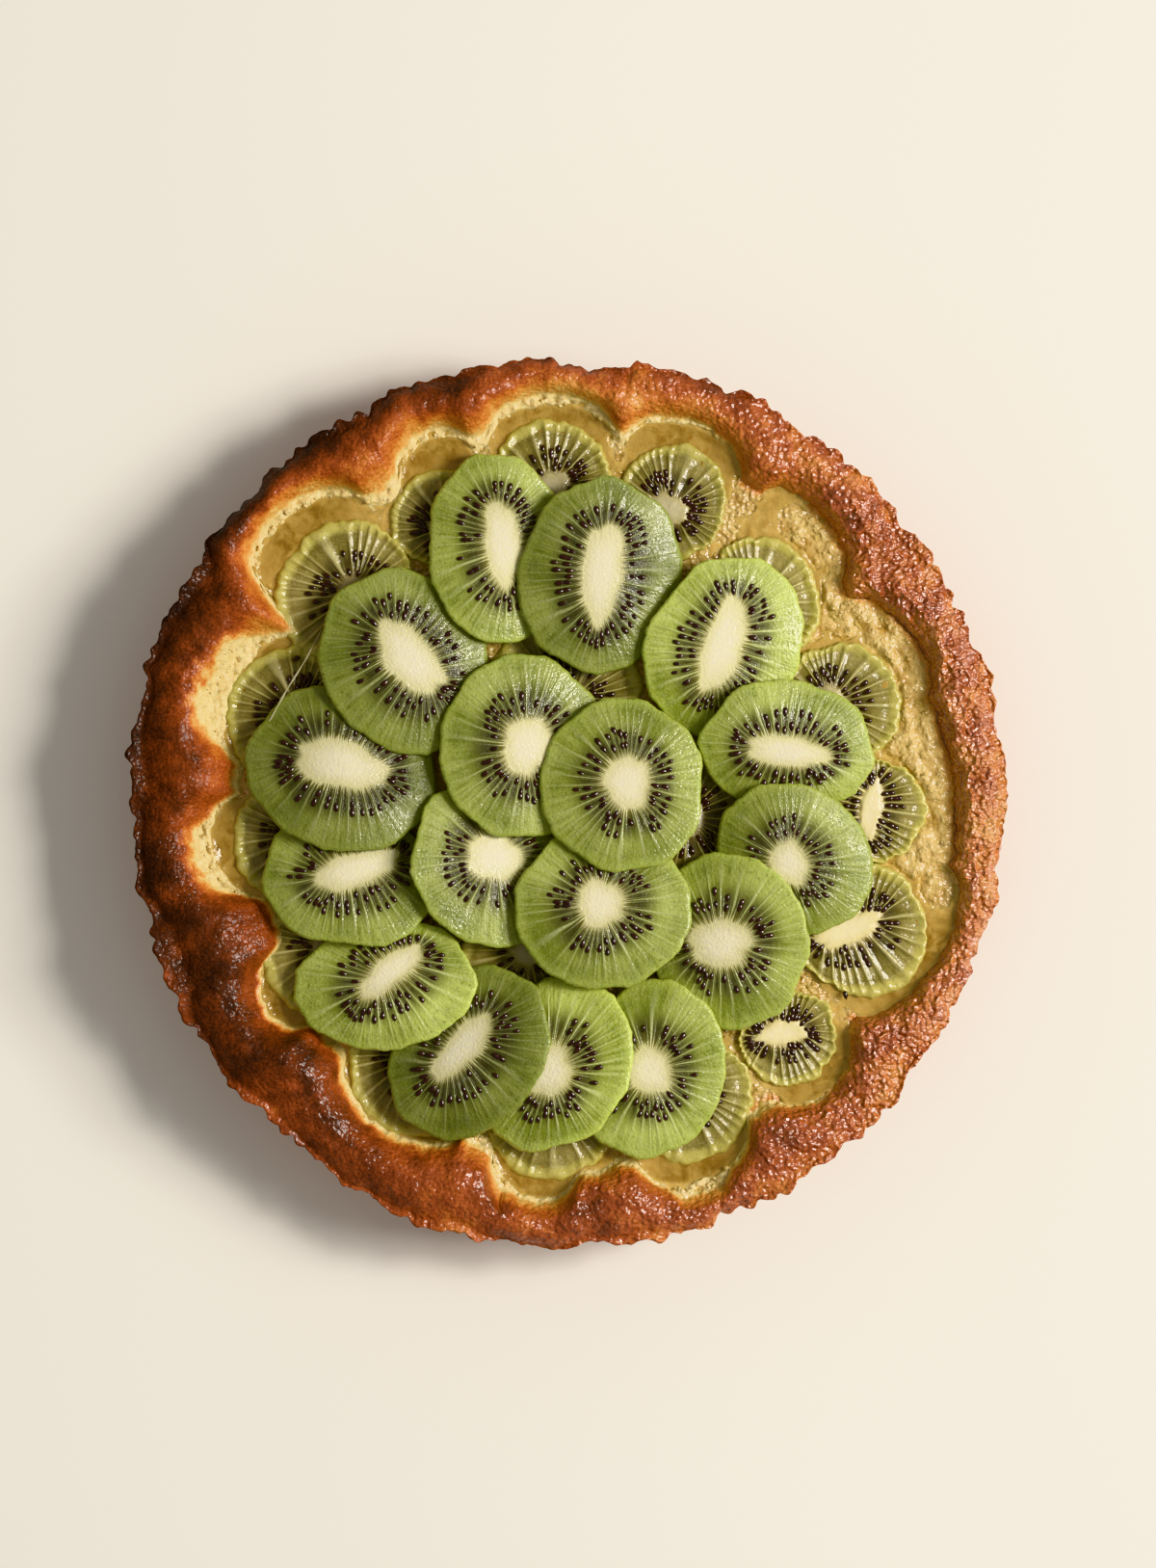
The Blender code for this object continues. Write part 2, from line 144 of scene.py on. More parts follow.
# How much further out than the tin the rim spread, or how much it shrank, by bearing (degrees, mm)
RIM_SPREAD = {
    10: -1.4, 40: -1.1, 58: -0.9, 70: 1.1, 79: 0.4, 81: 1.8, 82: -1.8, 88: -0.8, 98: 1.3, 110: 1.9, 130: 0.3,
    155: 0.5, 170: -0.3, 190: -1.4, 215: -1.8, 235: -1.3, 243: 1.2, 262: 1.6, 280: 1.1, 300: 1.0, 312: 1.6,
    326: -0.6, 345: -1.1,
}
CREST_WIDTH = 18.0 * MM
CREST_WIDENING = 0.35
CREST_FULLNESS = 0.62
WELL_TOP = 23.6 * MM
LEVEL_RING = 60.0 * MM
SCALLOP_FULLNESS = 0.55
WIDEST_LEVEL_LIP = 2.6 * MM
LIP_SLOPE = 0.25
LIP_RISE = 0.9 * MM
LIP_STEEPNESS = 0.9 * MM
KNOBS = 110
KNOB_DEPTH = 1.25 * MM
TORN_SLOPE = 1.25
CUSP_ROUNDING = 1.6
# Each row is a cusp of the rim's inner edge: its bearing, its reach, the bulge that follows it and half the
# breadth of the cusp (degrees, mm, mm, degrees)
WELL_CUSPS = (
    (16, 101.6, 5.5, 0.5), (37, 93.9, 7.5, 1.5), (60, 98.5, 8.0, 2.0), (82, 98.1, 8.5, 1.0),
    (104, 98.9, 7.0, 1.5), (121, 95.0, 10.0, 3.0), (145, 99.5, 0.0, 0.0), (148, 85.0, 8.5, 1.0),
    (176, 88.6, 10.0, 3.0), (202, 84.0, 11.0, 4.5), (225, 90.6, 9.0, 4.0), (255, 92.2, 10.5, 2.5),
    (271, 99.0, 0.0, 0.0), (279, 97.5, 10.5, 1.5), (302, 97.5, 7.5, 3.0), (322, 96.6, 7.0, 1.5),
    (350, 105.2, 0.8, 0.0),
)
# How the rim browned, by bearing: the width of its pale lip in mm, then its browning at the lip, half way
# and at the outer edge, from 0, which is pale crumb, to 1, which is nearly black. The browning is partly
# real and partly painted light and shade: darker on the side away from the window, and paler on the side
# towards it, where it stands in for the sheen of the glaze and for light on the shaded inner slope
RIM_BROWNING_AND_SHADE = {
    0: (0.0, 0.45, 0.44, 0.42), 30: (0.0, 0.46, 0.60, 0.49), 60: (0.2, 0.44, 0.50, 0.53),
    75: (1.5, 0.42, 0.49, 0.70), 90: (3.0, 0.32, 0.40, 0.62), 105: (3.0, 0.34, 0.67, 0.82),
    120: (3.0, 0.32, 0.48, 0.93), 135: (2.8, 0.36, 0.66, 0.98), 150: (2.4, 0.33, 0.65, 0.90),
    180: (1.2, 0.44, 0.74, 0.87), 210: (1.0, 0.64, 0.84, 0.80), 240: (1.4, 0.58, 0.79, 0.58),
    255: (1.5, 0.50, 0.60, 0.54), 270: (1.5, 0.50, 0.64, 0.55), 300: (1.1, 0.54, 0.57, 0.51),
    330: (0.2, 0.48, 0.53, 0.47), 345: (0.0, 0.38, 0.39, 0.41),
}
# How thickly the rim is glazed with syrup, by bearing: most on one side
RIM_GLAZE = {
    0: 1.0, 30: 0.9, 50: 0.6, 75: 0.25, 110: 0.1, 180: 0.06, 220: 0.1, 250: 0.22, 300: 0.5, 330: 0.9,
}
# The shape of the rim by bearing: how far out its crest stands, as a share of its width, how high it is
# (mm), and how gently it rises to there: 1 is a smooth swell, and less is steeper at its foot
RIM_CREST = {
    0: (0.36, 5.8, 1.0), 45: (0.36, 6.4, 0.95), 90: (0.45, 8.0, 1.15), 180: (0.48, 8.0, 1.15),
    270: (0.42, 8.0, 0.9), 320: (0.34, 6.6, 0.85),
}
# Where the lip tore open and shows a slope of bare crumb: bearing, half its spread in degrees, width in mm
TORN_LIPS = ((136, 8, 2.8), (161, 12, 7.5), (189, 8, 5.0), (257, 6, 3.4), (289, 6, 3.4))
DRY_BEARING, DRY_SPREAD = 19, 40
DRY_RISE = 0.7 * MM
PRESSED_DEPTH = 0.5 * MM
MOAT_DEPTH = 1.3 * MM
# The part of the way over the floor that is level, and the parts of the way down the wall at which it comes
# out from under the rim and turns in to the base
LEVEL_SHARE = 0.1
UNDER_RIM = 0.18
WALL_FOOT = 0.92
# Lumps of crust and crumb, coarse and fine: their size in mm, octaves and shift, and their height in mm
FLOOR_LUMPS = ((5.5, 3, 3.0, 0.6), (2.0, 2, 5.0, 0.35))
TORN_EDGE_LUMPS = ((4.5, 1, 2.0, 0.6), (1.3, 1, 2.5, 0.3))
RIM_PUFFS = ((13, 2, 7.0, 0.7), (3.6, 2, 8.0, 0.22))
# Darker and paler blotches of the crust, given in the same way, with a browning instead of a height
BLOTCHES = ((13, 2, 13.0, 0.08), (4, 2, 14.0, 0.06))
# The browning of bare crumb, of the gold seam beside it, of the wall, and of the batter inside the rim
CRUMB_BROWN, GOLD_BROWN, WALL_BROWN, BATTER_BROWN = 0.04, 0.30, 0.56, 0.06
AROUND = 936
FLOOR_STEPS, RIM_STEPS, WALL_STEPS, BASE_STEPS = 46, 40, 14, 3
MERGE_DISTANCE = 0.01 * MM


def lumps(points, size, octaves=1, shift=0.0, where=None):
    """Smooth random values from about -1 to 1 at some points, with lumps of about the given size. Points
    where the mask is 0 get none."""
    picked = np.arange(len(points)) if where is None else np.flatnonzero(where)
    sampled = points[picked] / size + np.array((shift * 7.3, shift * -3.1, shift * 1.9))
    values = np.zeros(len(points))
    values[picked] = [noise.fractal(point, 1.0, 2.0, octaves) * 1.6 for point in sampled.tolist()]
    return values


def lump_layers(points, layers, where=None):
    """Lumps of several sizes, added up."""
    return sum(
        lumps(points, size * MM, octaves, shift, where) * height for size, octaves, shift, height in layers
    )


def ramp(value, low, high):
    """Eases from 0 to 1 as the value goes from low to high, or from high to low where low is the larger."""
    share = np.clip((value - low) / (high - low), 0, 1)
    return share * share * (3 - 2 * share)


def part_way(start, end, share):
    return start + (end - start) * share


def around_table(bearing, table, number=None):
    """A value at each bearing, read between the entries of a table that goes by degrees, or between one
    number of each entry."""
    values = [entry if number is None else entry[number] for entry in table.values()]
    return np.interp(np.degrees(bearing) % 360, list(table), values, period=360)


def smoothed(values, points):
    """Values that go once round, each now the mean of the points near it, the nearest counting most."""
    weights = np.hanning(points)
    around = np.concatenate((values[-(points // 2):], values, values[:points // 2]))
    return np.convolve(around, weights / weights.sum(), mode="valid")


def flute(bearing):
    return np.abs(np.cos(FLUTES * bearing / 2)) * 1.6 - 1.0


def rim_reach(bearing):
    slow = 0.5 * np.sin(2 * bearing + 0.4) + 0.4 * np.sin(5 * bearing + 2.0) + 0.3 * np.sin(9 * bearing)
    quick = 0.6 * np.sin(23 * bearing + 1.0) + 0.5 * np.sin(37 * bearing + 4.0)
    spread = around_table(bearing, RIM_SPREAD) * MM
    return RIM_RADIUS + RIM_CRINKLE * (slow + quick) + 0.25 * FLUTE_DEPTH * flute(bearing) + spread


def scallop(bearing):
    """The reach of the rim's inner edge, and how far along its scallop each bearing is, from 0 to 1."""
    start, reach, bulge, breadth = np.array(WELL_CUSPS, float).T
    degrees = np.degrees(bearing) % 360
    here = (np.searchsorted(start, degrees, side="right") - 1) % len(start)
    after = (here + 1) % len(start)
    past, width = (degrees - start[here]) % 360, (start[after] - start[here]) % 360
    hollow = np.clip((past - breadth[here]) / (width - breadth[here] - breadth[after]), 0, 1)
    swell = bulge[here] * (4 * hollow * (1 - hollow)) ** SCALLOP_FULLNESS
    return (part_way(reach[here], reach[after], past / width) + swell) * MM, hollow


def smooth_scallop(bearing, degrees):
    """The reach of the rim's inner edge, with its cusps rounded off over some degrees either way."""
    turns = np.linspace(0, 2 * math.pi, 3600, endpoint=False)
    smooth = smoothed(scallop(turns)[0], int(degrees * 20) + 1)
    return np.interp(bearing % (2 * math.pi), turns, smooth, period=2 * math.pi)


def degrees_from(bearing, middle):
    return np.abs((np.degrees(bearing) - middle + 180) % 360 - 180)


def dryness(bearing):
    """1 where the batter inside the rim rose as dry crumb, on one side of the tart, and 0 elsewhere."""
    return ramp(degrees_from(bearing, DRY_BEARING), DRY_SPREAD, DRY_SPREAD * 0.7)


def wetness(bearing):
    """How much syrup stands in the hollow inside the rim: most in the middle of each scallop, none on the
    dry side."""
    along = scallop(bearing)[1]
    return np.sqrt(np.clip(4 * along * (1 - along), 0, 1)) * (1 - dryness(bearing))


def lip_width(bearing):
    """The width of pale crumb at the rim's inner edge."""
    width = around_table(bearing, RIM_BROWNING_AND_SHADE, 0)
    for middle, spread, torn in TORN_LIPS:
        width = np.maximum(width, torn * ramp(degrees_from(bearing, middle), spread, spread * 0.5))
    return width * MM


def outline_of(node):
    """The corners of a solid slice seen from above, anticlockwise."""
    flat = [Vector(vertex.co[:2]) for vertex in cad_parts[node].data.vertices]
    corners = np.array([flat[i] for i in geometry.convex_hull_2d(flat)])
    middle = corners.mean(axis=0)
    return corners[np.argsort(np.arctan2(corners[:, 1] - middle[1], corners[:, 0] - middle[0]))]


BAKED_NODES = [f"baked_kiwi_{number:02d}" for number in range(1, 19)]
baked_discs = []
for node in BAKED_NODES:
    corners = outline_of(node)
    middle = corners.mean(axis=0)
    baked_discs.append((middle, np.linalg.norm(corners - middle, axis=1).mean()))


def under_slices(points):
    """1 where a baked slice lies, 0 a little outside its edge."""
    pressed = np.zeros(len(points))
    for middle, reach in baked_discs:
        away = np.linalg.norm(points[:, :2] - middle, axis=1) / reach
        pressed = np.maximum(pressed, ramp(away, 1.17, 1.04))
    return pressed


def floor_height(bearing, radius, points):
    """The batter inside the rim: level and lumpy, pressed in by the baked slices, and lower where syrup
    stands in the hollows at its edge."""
    inner = smooth_scallop(bearing, CUSP_ROUNDING)
    near_edge = ramp(inner - radius, 24 * MM, 14 * MM)
    pressed = under_slices(points)
    dry = dryness(bearing) * near_edge * (1 - pressed)
    seen = near_edge > 0
    rough = lump_layers(points, FLOOR_LUMPS, seen) * MM
    drawn_out = np.column_stack((radius, bearing * LEVEL_RING / 2, np.zeros_like(radius)))
    rough += (0.35 - np.abs(lumps(drawn_out, 4.5 * MM, 2, 6.0, dry > 0))) * 1.2 * MM * dry
    sunk = MOAT_DEPTH * wetness(bearing) * near_edge + PRESSED_DEPTH * pressed * dryness(bearing)
    return WELL_TOP - sunk + rough * (0.3 * near_edge + 0.55 * dry) + DRY_RISE * dry


def case_points(bearing, station):
    """Places on the case: stations 0 to 1 run out over the floor, 1 to 2 over the rim, 2 to 3 down the wall,
    and 3 to 4 in under the base. Also says how far out over the rim each is, in metres and as a share."""
    inner, outer = smooth_scallop(bearing, CUSP_ROUNDING), rim_reach(bearing)
    ring = np.column_stack((np.cos(bearing), np.sin(bearing), np.zeros_like(bearing)))
    round_rim = ring * RIM_RADIUS
    edge = (station > 1.8) & (station < 2.5)
    knob = np.abs(np.cos(KNOBS / 2 * bearing + 2.2 * lumps(round_rim, 22 * MM, 1, 1.0, edge)))
    knob_size = KNOB_DEPTH * (0.65 + 0.9 * lumps(round_rim, 13 * MM, 1, 1.2, edge))
    teeth = (knob - 0.6) * knob_size + lumps(round_rim, 3.0 * MM, 2, 1.5, edge) * 0.6 * MM
    by_lip = np.abs(station - 1) < 0.25
    torn = lump_layers(round_rim, TORN_EDGE_LUMPS, by_lip) * MM

    share = np.clip(station - 1, 0, 1)
    past_level = np.clip((station - LEVEL_SHARE) / (1 - LEVEL_SHARE), 0, 1)
    radius = part_way(LEVEL_RING, inner, past_level)
    radius = np.where(station < LEVEL_SHARE, station / LEVEL_SHARE * LEVEL_RING, radius)
    radius = np.where(station > 1, part_way(inner, outer, share), radius)
    radius += torn * ramp(station, 0.9, 1.0) * ramp(station, 1.25, 1.05)
    radius += teeth * ramp(station, 1.86, 2.0) * ramp(station, 2.5, 2.1)

    flat = ring * radius[:, None]
    uneven = 1 + 0.10 * np.sin(3 * bearing + 1.1) + 0.06 * np.sin(7 * bearing)
    uneven += 0.05 * np.sin(13 * bearing + 2)
    out, lip = (outer - inner) * share, lip_width(bearing)
    level_lip = np.minimum(lip, WIDEST_LEVEL_LIP)
    peak, rise, swell = (around_table(bearing, RIM_CREST, number) for number in range(3))
    up = np.clip((out - level_lip) / (outer - inner - level_lip), 0, 1) ** (math.log(0.5) / np.log(peak))
    broad = ((outer - smooth_scallop(bearing, 9.0)) / CREST_WIDTH) ** CREST_WIDENING
    fullness = np.where(up < 0.5, swell, CREST_FULLNESS)
    crest = rise * MM * uneven * broad * (4 * up * (1 - up)) ** fullness
    torn_slope = np.where(lip > WIDEST_LEVEL_LIP * 1.2, TORN_SLOPE, 9) * np.clip(out - level_lip, 0, None)
    floor = floor_height(bearing, radius, flat)
    height = part_way(floor, RIM_EDGE, share) + np.minimum(crest, torn_slope)
    lip_level = part_way(floor, WELL_TOP + LIP_RISE, ramp(out, 0, LIP_STEEPNESS)) + LIP_SLOPE * out
    height = np.where(station > 1, np.maximum(height, lip_level), height)
    crust = (station > 1) & (station < 2.2)
    glazed = 0.08 + 0.55 * around_table(bearing, RIM_GLAZE)
    puffs = lump_layers(flat, RIM_PUFFS, crust) + lumps(flat, 2.8 * MM, 2, 9.0, crust) * glazed
    bare = ramp(out, lip + 1 * MM, lip - 1 * MM)
    holes = ramp(lumps(flat, 2.4 * MM, 2, 10.0, bare * crust), 0.05, 0.6)
    puffs += bare * (lumps(flat, 4.0 * MM, 2, 10.5, bare * crust) * 0.5 - holes * 1.1)
    height += puffs * MM * ramp(station, 1.0, 1.1) * ramp(station, 2.2, 2.0)

    down = np.clip(station - 2, 0, 1)
    under_rim = ramp(down, 0.0, UNDER_RIM)
    wall_share = np.clip((down - UNDER_RIM) / (WALL_FOOT - UNDER_RIM), 0, 1)
    turned_in = BASE_EDGE * np.clip((down - WALL_FOOT) / (1 - WALL_FOOT), 0, 1)
    ripple = flute(bearing) * FLUTE_DEPTH
    wall = part_way(WALL_TOP_RADIUS + ripple, BASE_RADIUS + 0.6 * ripple, wall_share) - turned_in
    wall_points = np.column_stack((ring[:, :2] * WALL_TOP_RADIUS, 0.02 * down))
    wall += lumps(wall_points, 5 * MM, 3, 4.0, station > 2) * 0.3 * MM
    radius = np.where(station > 2, part_way(radius, wall, under_rim), radius)
    level = part_way(WALL_TOP, BASE_EDGE, wall_share) - turned_in
    height = np.where(station > 2, part_way(height, level, under_rim), height)
    radius = np.where(station > 3, radius * (4 - station), radius)
    return np.column_stack((ring[:, :2] * radius[:, None], height)), out, share


def give(piece, name, values):
    """Stores one number for each point of a piece, or the same for all, which its material reads by name."""
    attribute = piece.data.attributes.new(name, "FLOAT", "POINT")
    attribute.data.foreach_set("value", np.full(len(piece.data.vertices), values, np.float32))


def numbers_of(items, name, kind=np.float32, each=1):
    """One property of all the points, corners or faces of a mesh, as an array."""
    values = np.empty(len(items) * each, kind)
    items.foreach_get(name, values)
    return values


def points_of(piece):
    return numbers_of(piece.data.vertices, "co", each=3).reshape(-1, 3).astype(float)


def move_points(piece, places):
    piece.data.vertices.foreach_set("co", np.asarray(places, np.float32).ravel())
    piece.data.update()


def select_points(piece, picked):
    """Selects the picked points of a piece alone, and opens it in edit mode."""
    bpy.ops.object.mode_set(mode="EDIT")
    bpy.ops.mesh.select_mode(type="VERT")
    bpy.ops.mesh.select_all(action="DESELECT")
    bpy.ops.object.mode_set(mode="OBJECT")
    for vertex, chosen in zip(piece.data.vertices, picked):
        vertex.select = bool(chosen)
    bpy.ops.object.mode_set(mode="EDIT")


def close_up():
    """Merges the doubled points of the active piece and turns its faces outward."""
    bpy.ops.object.mode_set(mode="EDIT")
    bpy.ops.mesh.select_all(action="SELECT")
    bpy.ops.mesh.remove_doubles(threshold=MERGE_DISTANCE)
    bpy.ops.mesh.normals_make_consistent(inside=False)
    bpy.ops.object.mode_set(mode="OBJECT")


stations = np.concatenate((
    np.linspace(0.0, LEVEL_SHARE, 3, endpoint=False),
    part_way(LEVEL_SHARE, 1.0, np.linspace(0.0, 1.0, FLOOR_STEPS - 3, endpoint=False) ** 0.7),
    np.linspace(1.0, 2.0, RIM_STEPS, endpoint=False),
    np.linspace(2.0, 3.0, WALL_STEPS, endpoint=False),
    np.linspace(3.0, 4.0, BASE_STEPS + 1),
))
sponge = start_piece(
    "sponge_cake", bpy.ops.mesh.primitive_grid_add,
    x_subdivisions=len(stations) - 1, y_subdivisions=1, size=1,
)
select_points(sponge, points_of(sponge)[:, 1] > 0)
bpy.ops.mesh.delete(type="VERT")
bpy.ops.object.mode_set(mode="OBJECT")
chain_station = np.empty(len(stations))
chain_station[np.argsort(points_of(sponge)[:, 0])] = stations
move_points(sponge, case_points(np.zeros(len(stations)), chain_station)[0])
give(sponge, "station", chain_station)
bpy.ops.object.mode_set(mode="EDIT")
bpy.ops.mesh.select_all(action="SELECT")
bpy.ops.mesh.spin(steps=AROUND, angle=2 * math.pi, center=(0, 0, 0), axis=(0, 0, 1))
close_up()

spun_station = sponge.data.attributes["station"]
station = numbers_of(spun_station.data, "value").astype(float)
sponge.data.attributes.remove(spun_station)
spun = points_of(sponge)
bearing = np.arctan2(spun[:, 1], spun[:, 0])
places, out, share = case_points(bearing, station)
move_points(sponge, places)

# How brown each point is, with the rim's painted light and shade in it: over the rim, then pale and gold at
# the lip, then the wall and the floor
at_lip, half_way, at_edge = (around_table(bearing, RIM_BROWNING_AND_SHADE, number) for number in (1, 2, 3))
lip = lip_width(bearing) * (1 + 0.22 * lumps(places, 3.0 * MM, 2, 12.0))
inside = part_way(at_lip, half_way, share * 2)
browned_and_shaded = np.where(share < 0.5, inside, part_way(half_way, at_edge, share * 2 - 1))
pale = ramp(lip, 0.1 * MM, 1.2 * MM)
gold = part_way(browned_and_shaded, GOLD_BROWN, pale)
gold_width = 1.5 * MM + 4.0 * MM * ramp(lip, 0.6 * MM, 3.0 * MM)
gold = part_way(gold, browned_and_shaded, np.maximum(ramp(out, lip, lip + gold_width), ramp(share, 0.5, 0.85)))
bare = part_way(gold, CRUMB_BROWN, pale)
browned_and_shaded = part_way(bare, gold, ramp(out, lip - 0.6 * MM, lip + 1.8 * MM))
browned_and_shaded += lump_layers(places, BLOTCHES) * ramp(out, lip, lip + 4 * MM)
wall_brown = WALL_BROWN + 0.10 * lumps(places, 14 * MM, 3, 15.0) + 0.08 * flute(bearing)
browned_and_shaded = part_way(browned_and_shaded, wall_brown, ramp(station, 2.0, 2.25))
past_floor = np.hypot(places[:, 0], places[:, 1]) - smooth_scallop(bearing, CUSP_ROUNDING)
near_rim = ramp(past_floor, -4.5 * MM, 0.0)
browned_and_shaded = np.where(station < 1, BATTER_BROWN + 0.3 * near_rim * ramp(at_lip, 0.3, 0.5), browned_and_shaded)
give(sponge, "browning_and_shade", np.clip(browned_and_shaded, 0, 1))
glaze = np.where(station < 1, 0.6 - 0.35 * dryness(bearing), around_table(bearing, RIM_GLAZE))
give(sponge, "glaze", glaze * ramp(station, 2.4, 2.0))
proud = ramp(places[:, 2], WELL_TOP - 0.1 * MM, WELL_TOP + 1.3 * MM)
give(sponge, "soaked", np.where(station < 1, (1 - 0.35 * dryness(bearing) * proud) * (1 - near_rim), 0))


def add(tree, kind, inputs):
    """Adds a node to a tree and fills it in."""
    node = tree.nodes.new("ShaderNode" + kind)
    fill(node, inputs)
    return node


# Sponge that was baked: open crumb where it is pale, and a dry, finely blistered crust where it browned. It
# scatters light a little way in, and syrup gives it a bright, uneven film.
baked_crust, tree, surface = new_material("baked sponge crust")
coords = add(tree, "TexCoord", {}).outputs["Object"]
browning_and_shade, soaked, glaze = (
    add(tree, "Attribute", {"attribute_name": name}).outputs["Fac"]
    for name in ("browning_and_shade", "soaked", "glaze")
)
grain = add(tree, "TexNoise", {"Scale": 1 / (0.7 * MM), "Detail": 2.0, "Roughness": 0.6, "Vector": coords})
blotch = add(tree, "TexNoise", {"Scale": 1 / (5 * MM), "Detail": 3.0, "Vector": coords})
warp = add(tree, "TexNoise", {"Scale": 1 / (1.5 * MM), "Detail": 1.0, "Vector": coords}).outputs["Color"]
warped = add(tree, "VectorMath", {"operation": "MULTIPLY_ADD", 0: warp, 1: (1.2 * MM,) * 3, 2: coords})
beads = add(tree, "TexVoronoi", {"Scale": 1 / (1.25 * MM), "Vector": warped})
domes = add(tree, "Math", {"operation": "POWER", 0: beads, 1: 2.0})
holes = add(tree, "TexNoise", {"Scale": 1 / (1.6 * MM), "Detail": 2.0, "Roughness": 0.45, "Vector": coords})
holes = add(tree, "MapRange", {0: holes, 1: 0.36, 2: 0.56})
crusty = add(tree, "MapRange", {0: browning_and_shade, 1: 0.16, 2: 0.36})
holes = add(tree, "Mix", {"data_type": "FLOAT", 0: crusty, 2: holes, 3: 1.0})
holes = add(tree, "Math", {"operation": "MAXIMUM", 0: holes, 1: soaked})
grain_share = add(tree, "MapRange", {0: glaze, 3: 0.42, 4: 0.34})
centred_grain = add(tree, "Math", {"operation": "SUBTRACT", 0: grain, 1: 0.5})
grain_tone = add(tree, "Math", {"operation": "MULTIPLY", 0: centred_grain, 1: grain_share})
blotch_tone = add(tree, "Math", {"operation": "MULTIPLY_ADD", 0: blotch, 1: 0.22, 2: -0.11})
tone = add(tree, "Math", {"operation": "ADD", 0: grain_tone, 1: blotch_tone})
tone = add(tree, "Math", {"operation": "ADD", 0: tone, 1: browning_and_shade})
# The crust colour is read from the browning, which also carries the rim's painted light and shade
crust = add(tree, "ValToRGB", {"Fac": tone})
crust_colours = (
    (0.00, "#ecd89c"), (0.14, "#e0c47e"), (0.27, "#dba25a"), (0.42, "#c1753c"), (0.56, "#a0512c"),
    (0.70, "#763718"), (0.84, "#48200a"), (1.00, "#200c04"),
)
while len(crust.color_ramp.elements) < len(crust_colours):
    crust.color_ramp.elements.new(0.5)
for element, (position, code) in zip(crust.color_ramp.elements, crust_colours):
    element.position = position
    element.color = linear(code)
blotch_share = add(tree, "MapRange", {0: blotch, 1: 0.35, 2: 0.65})
crumb = add(tree, "Mix", {"data_type": "RGBA", 0: blotch_share, 6: "#b18b44", 7: "#d3b672"})
colour = add(tree, "Mix", {"data_type": "RGBA", 0: soaked, 6: crust, 7: crumb})
# Painted shade: the colour is darkened in the pores of the bare crumb, where shade falls into them
pit_shade = add(tree, "MapRange", {0: holes, 3: 0.8, 4: 1.0})
colour = add(tree, "Mix", {"data_type": "RGBA", "blend_type": "MULTIPLY", 0: 1.0, 6: colour, 7: pit_shade})
patch = add(tree, "TexNoise", {"Scale": 1 / (9 * MM), "Detail": 1.0, "Vector": coords})
patch = add(tree, "MapRange", {0: patch, 1: 0.35, 2: 0.65, 3: -0.16, 4: -0.42})
glazed_over = add(tree, "MapRange", {0: glaze, 3: 1.0, 4: 0.8})
patch = add(tree, "Math", {"operation": "MULTIPLY", 0: patch, 1: glazed_over})
dome_height = add(tree, "Mix", {"data_type": "FLOAT", 0: crusty, 2: -0.15, 3: patch})
relief = add(tree, "Math", {"operation": "MULTIPLY", 0: domes, 1: dome_height})
blister = add(tree, "TexNoise", {"Scale": 1 / (1.3 * MM), "Detail": 0.3, "Vector": coords})
blister = add(tree, "Math", {"operation": "MULTIPLY", 0: blister, 1: glaze})
film = add(tree, "Math", {"operation": "MULTIPLY_ADD", 0: blister, 1: 2.3, 2: relief})
grain_height = add(tree, "MapRange", {0: crusty, 3: 0.65, 4: 0.5})
grain_relief = add(tree, "Math", {"operation": "MULTIPLY", 0: grain_tone, 1: grain_height})
relief = add(tree, "Math", {"operation": "ADD", 0: grain_relief, 1: film})
fill(surface, {
    "Base Color": colour,
    "Roughness": add(tree, "MapRange", {0: grain, 3: 0.5, 4: 0.72}),
    "Normal": add(tree, "Bump", {"Strength": 1.0, "Distance": 1.0 * MM, "Height": relief}),
    "Subsurface Weight": add(tree, "MapRange", {0: crusty, 3: 0.3, 4: 0.15}),
    "Subsurface Radius": (1.0, 0.55, 0.3),
    "Subsurface Scale": 2.0 * MM,
    "IOR": 1.35,
    "Coat Weight": glaze,
    "Coat Roughness": 0.17,
    "Coat IOR": 2.2,
    "Coat Normal": add(tree, "Bump", {"Strength": 1.0, "Distance": 1.0 * MM, "Height": film}),
})


def finish_piece(piece, material, slot, *nodes):
    """Shades a piece smooth, gives it its material, hangs it from the root, and hides the solids it takes
    the place of.
    """
    piece.data.materials.clear()
    piece.data.materials.append(material)
    piece.data.shade_smooth()
    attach(piece, "root")
    if nodes:
        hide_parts(*nodes)


finish_piece(sponge, baked_crust, "sponge_crust", "sponge_case")

# Torn crumb
# Where the lip tore away from the fruit, and on the dry side, the sponge is bare: grains of pale crumb, 0.7
# to 1.7 mm across, that hang together in clumps with holes between them.
CRUMB_SHAPES = 5
CRUMB_GRAINS = 2400
CRUMB_RADIUS = (0.36, 0.85)
CRUMB_CLUMP = 3.2 * MM
# The share of the grains that lies on the torn lips, and on the pale lip between two bearings (degrees)
TORN_LIP_SHARE = 0.28
PALE_LIP_SHARE = 0.12
PALE_LIP_BEARINGS = (78, 215)
DRY_CRUMB_LEVEL = WELL_TOP + 0.5 * MM

draw = random.Random(5)
grain_shapes = []
for number in range(CRUMB_SHAPES):
    one_grain = start_piece("one_grain", bpy.ops.mesh.primitive_ico_sphere_add, subdivisions=2, radius=1)
    round_points = points_of(one_grain)
    bumps = 1 + 0.35 * lumps(round_points, 0.9, 2, number + 50.0)
    grain_shapes.append(round_points * bumps[:, None] * (1, 1, 0.75))
    grain_faces = [list(face.vertices) for face in one_grain.data.polygons]
    bpy.data.objects.remove(one_grain)


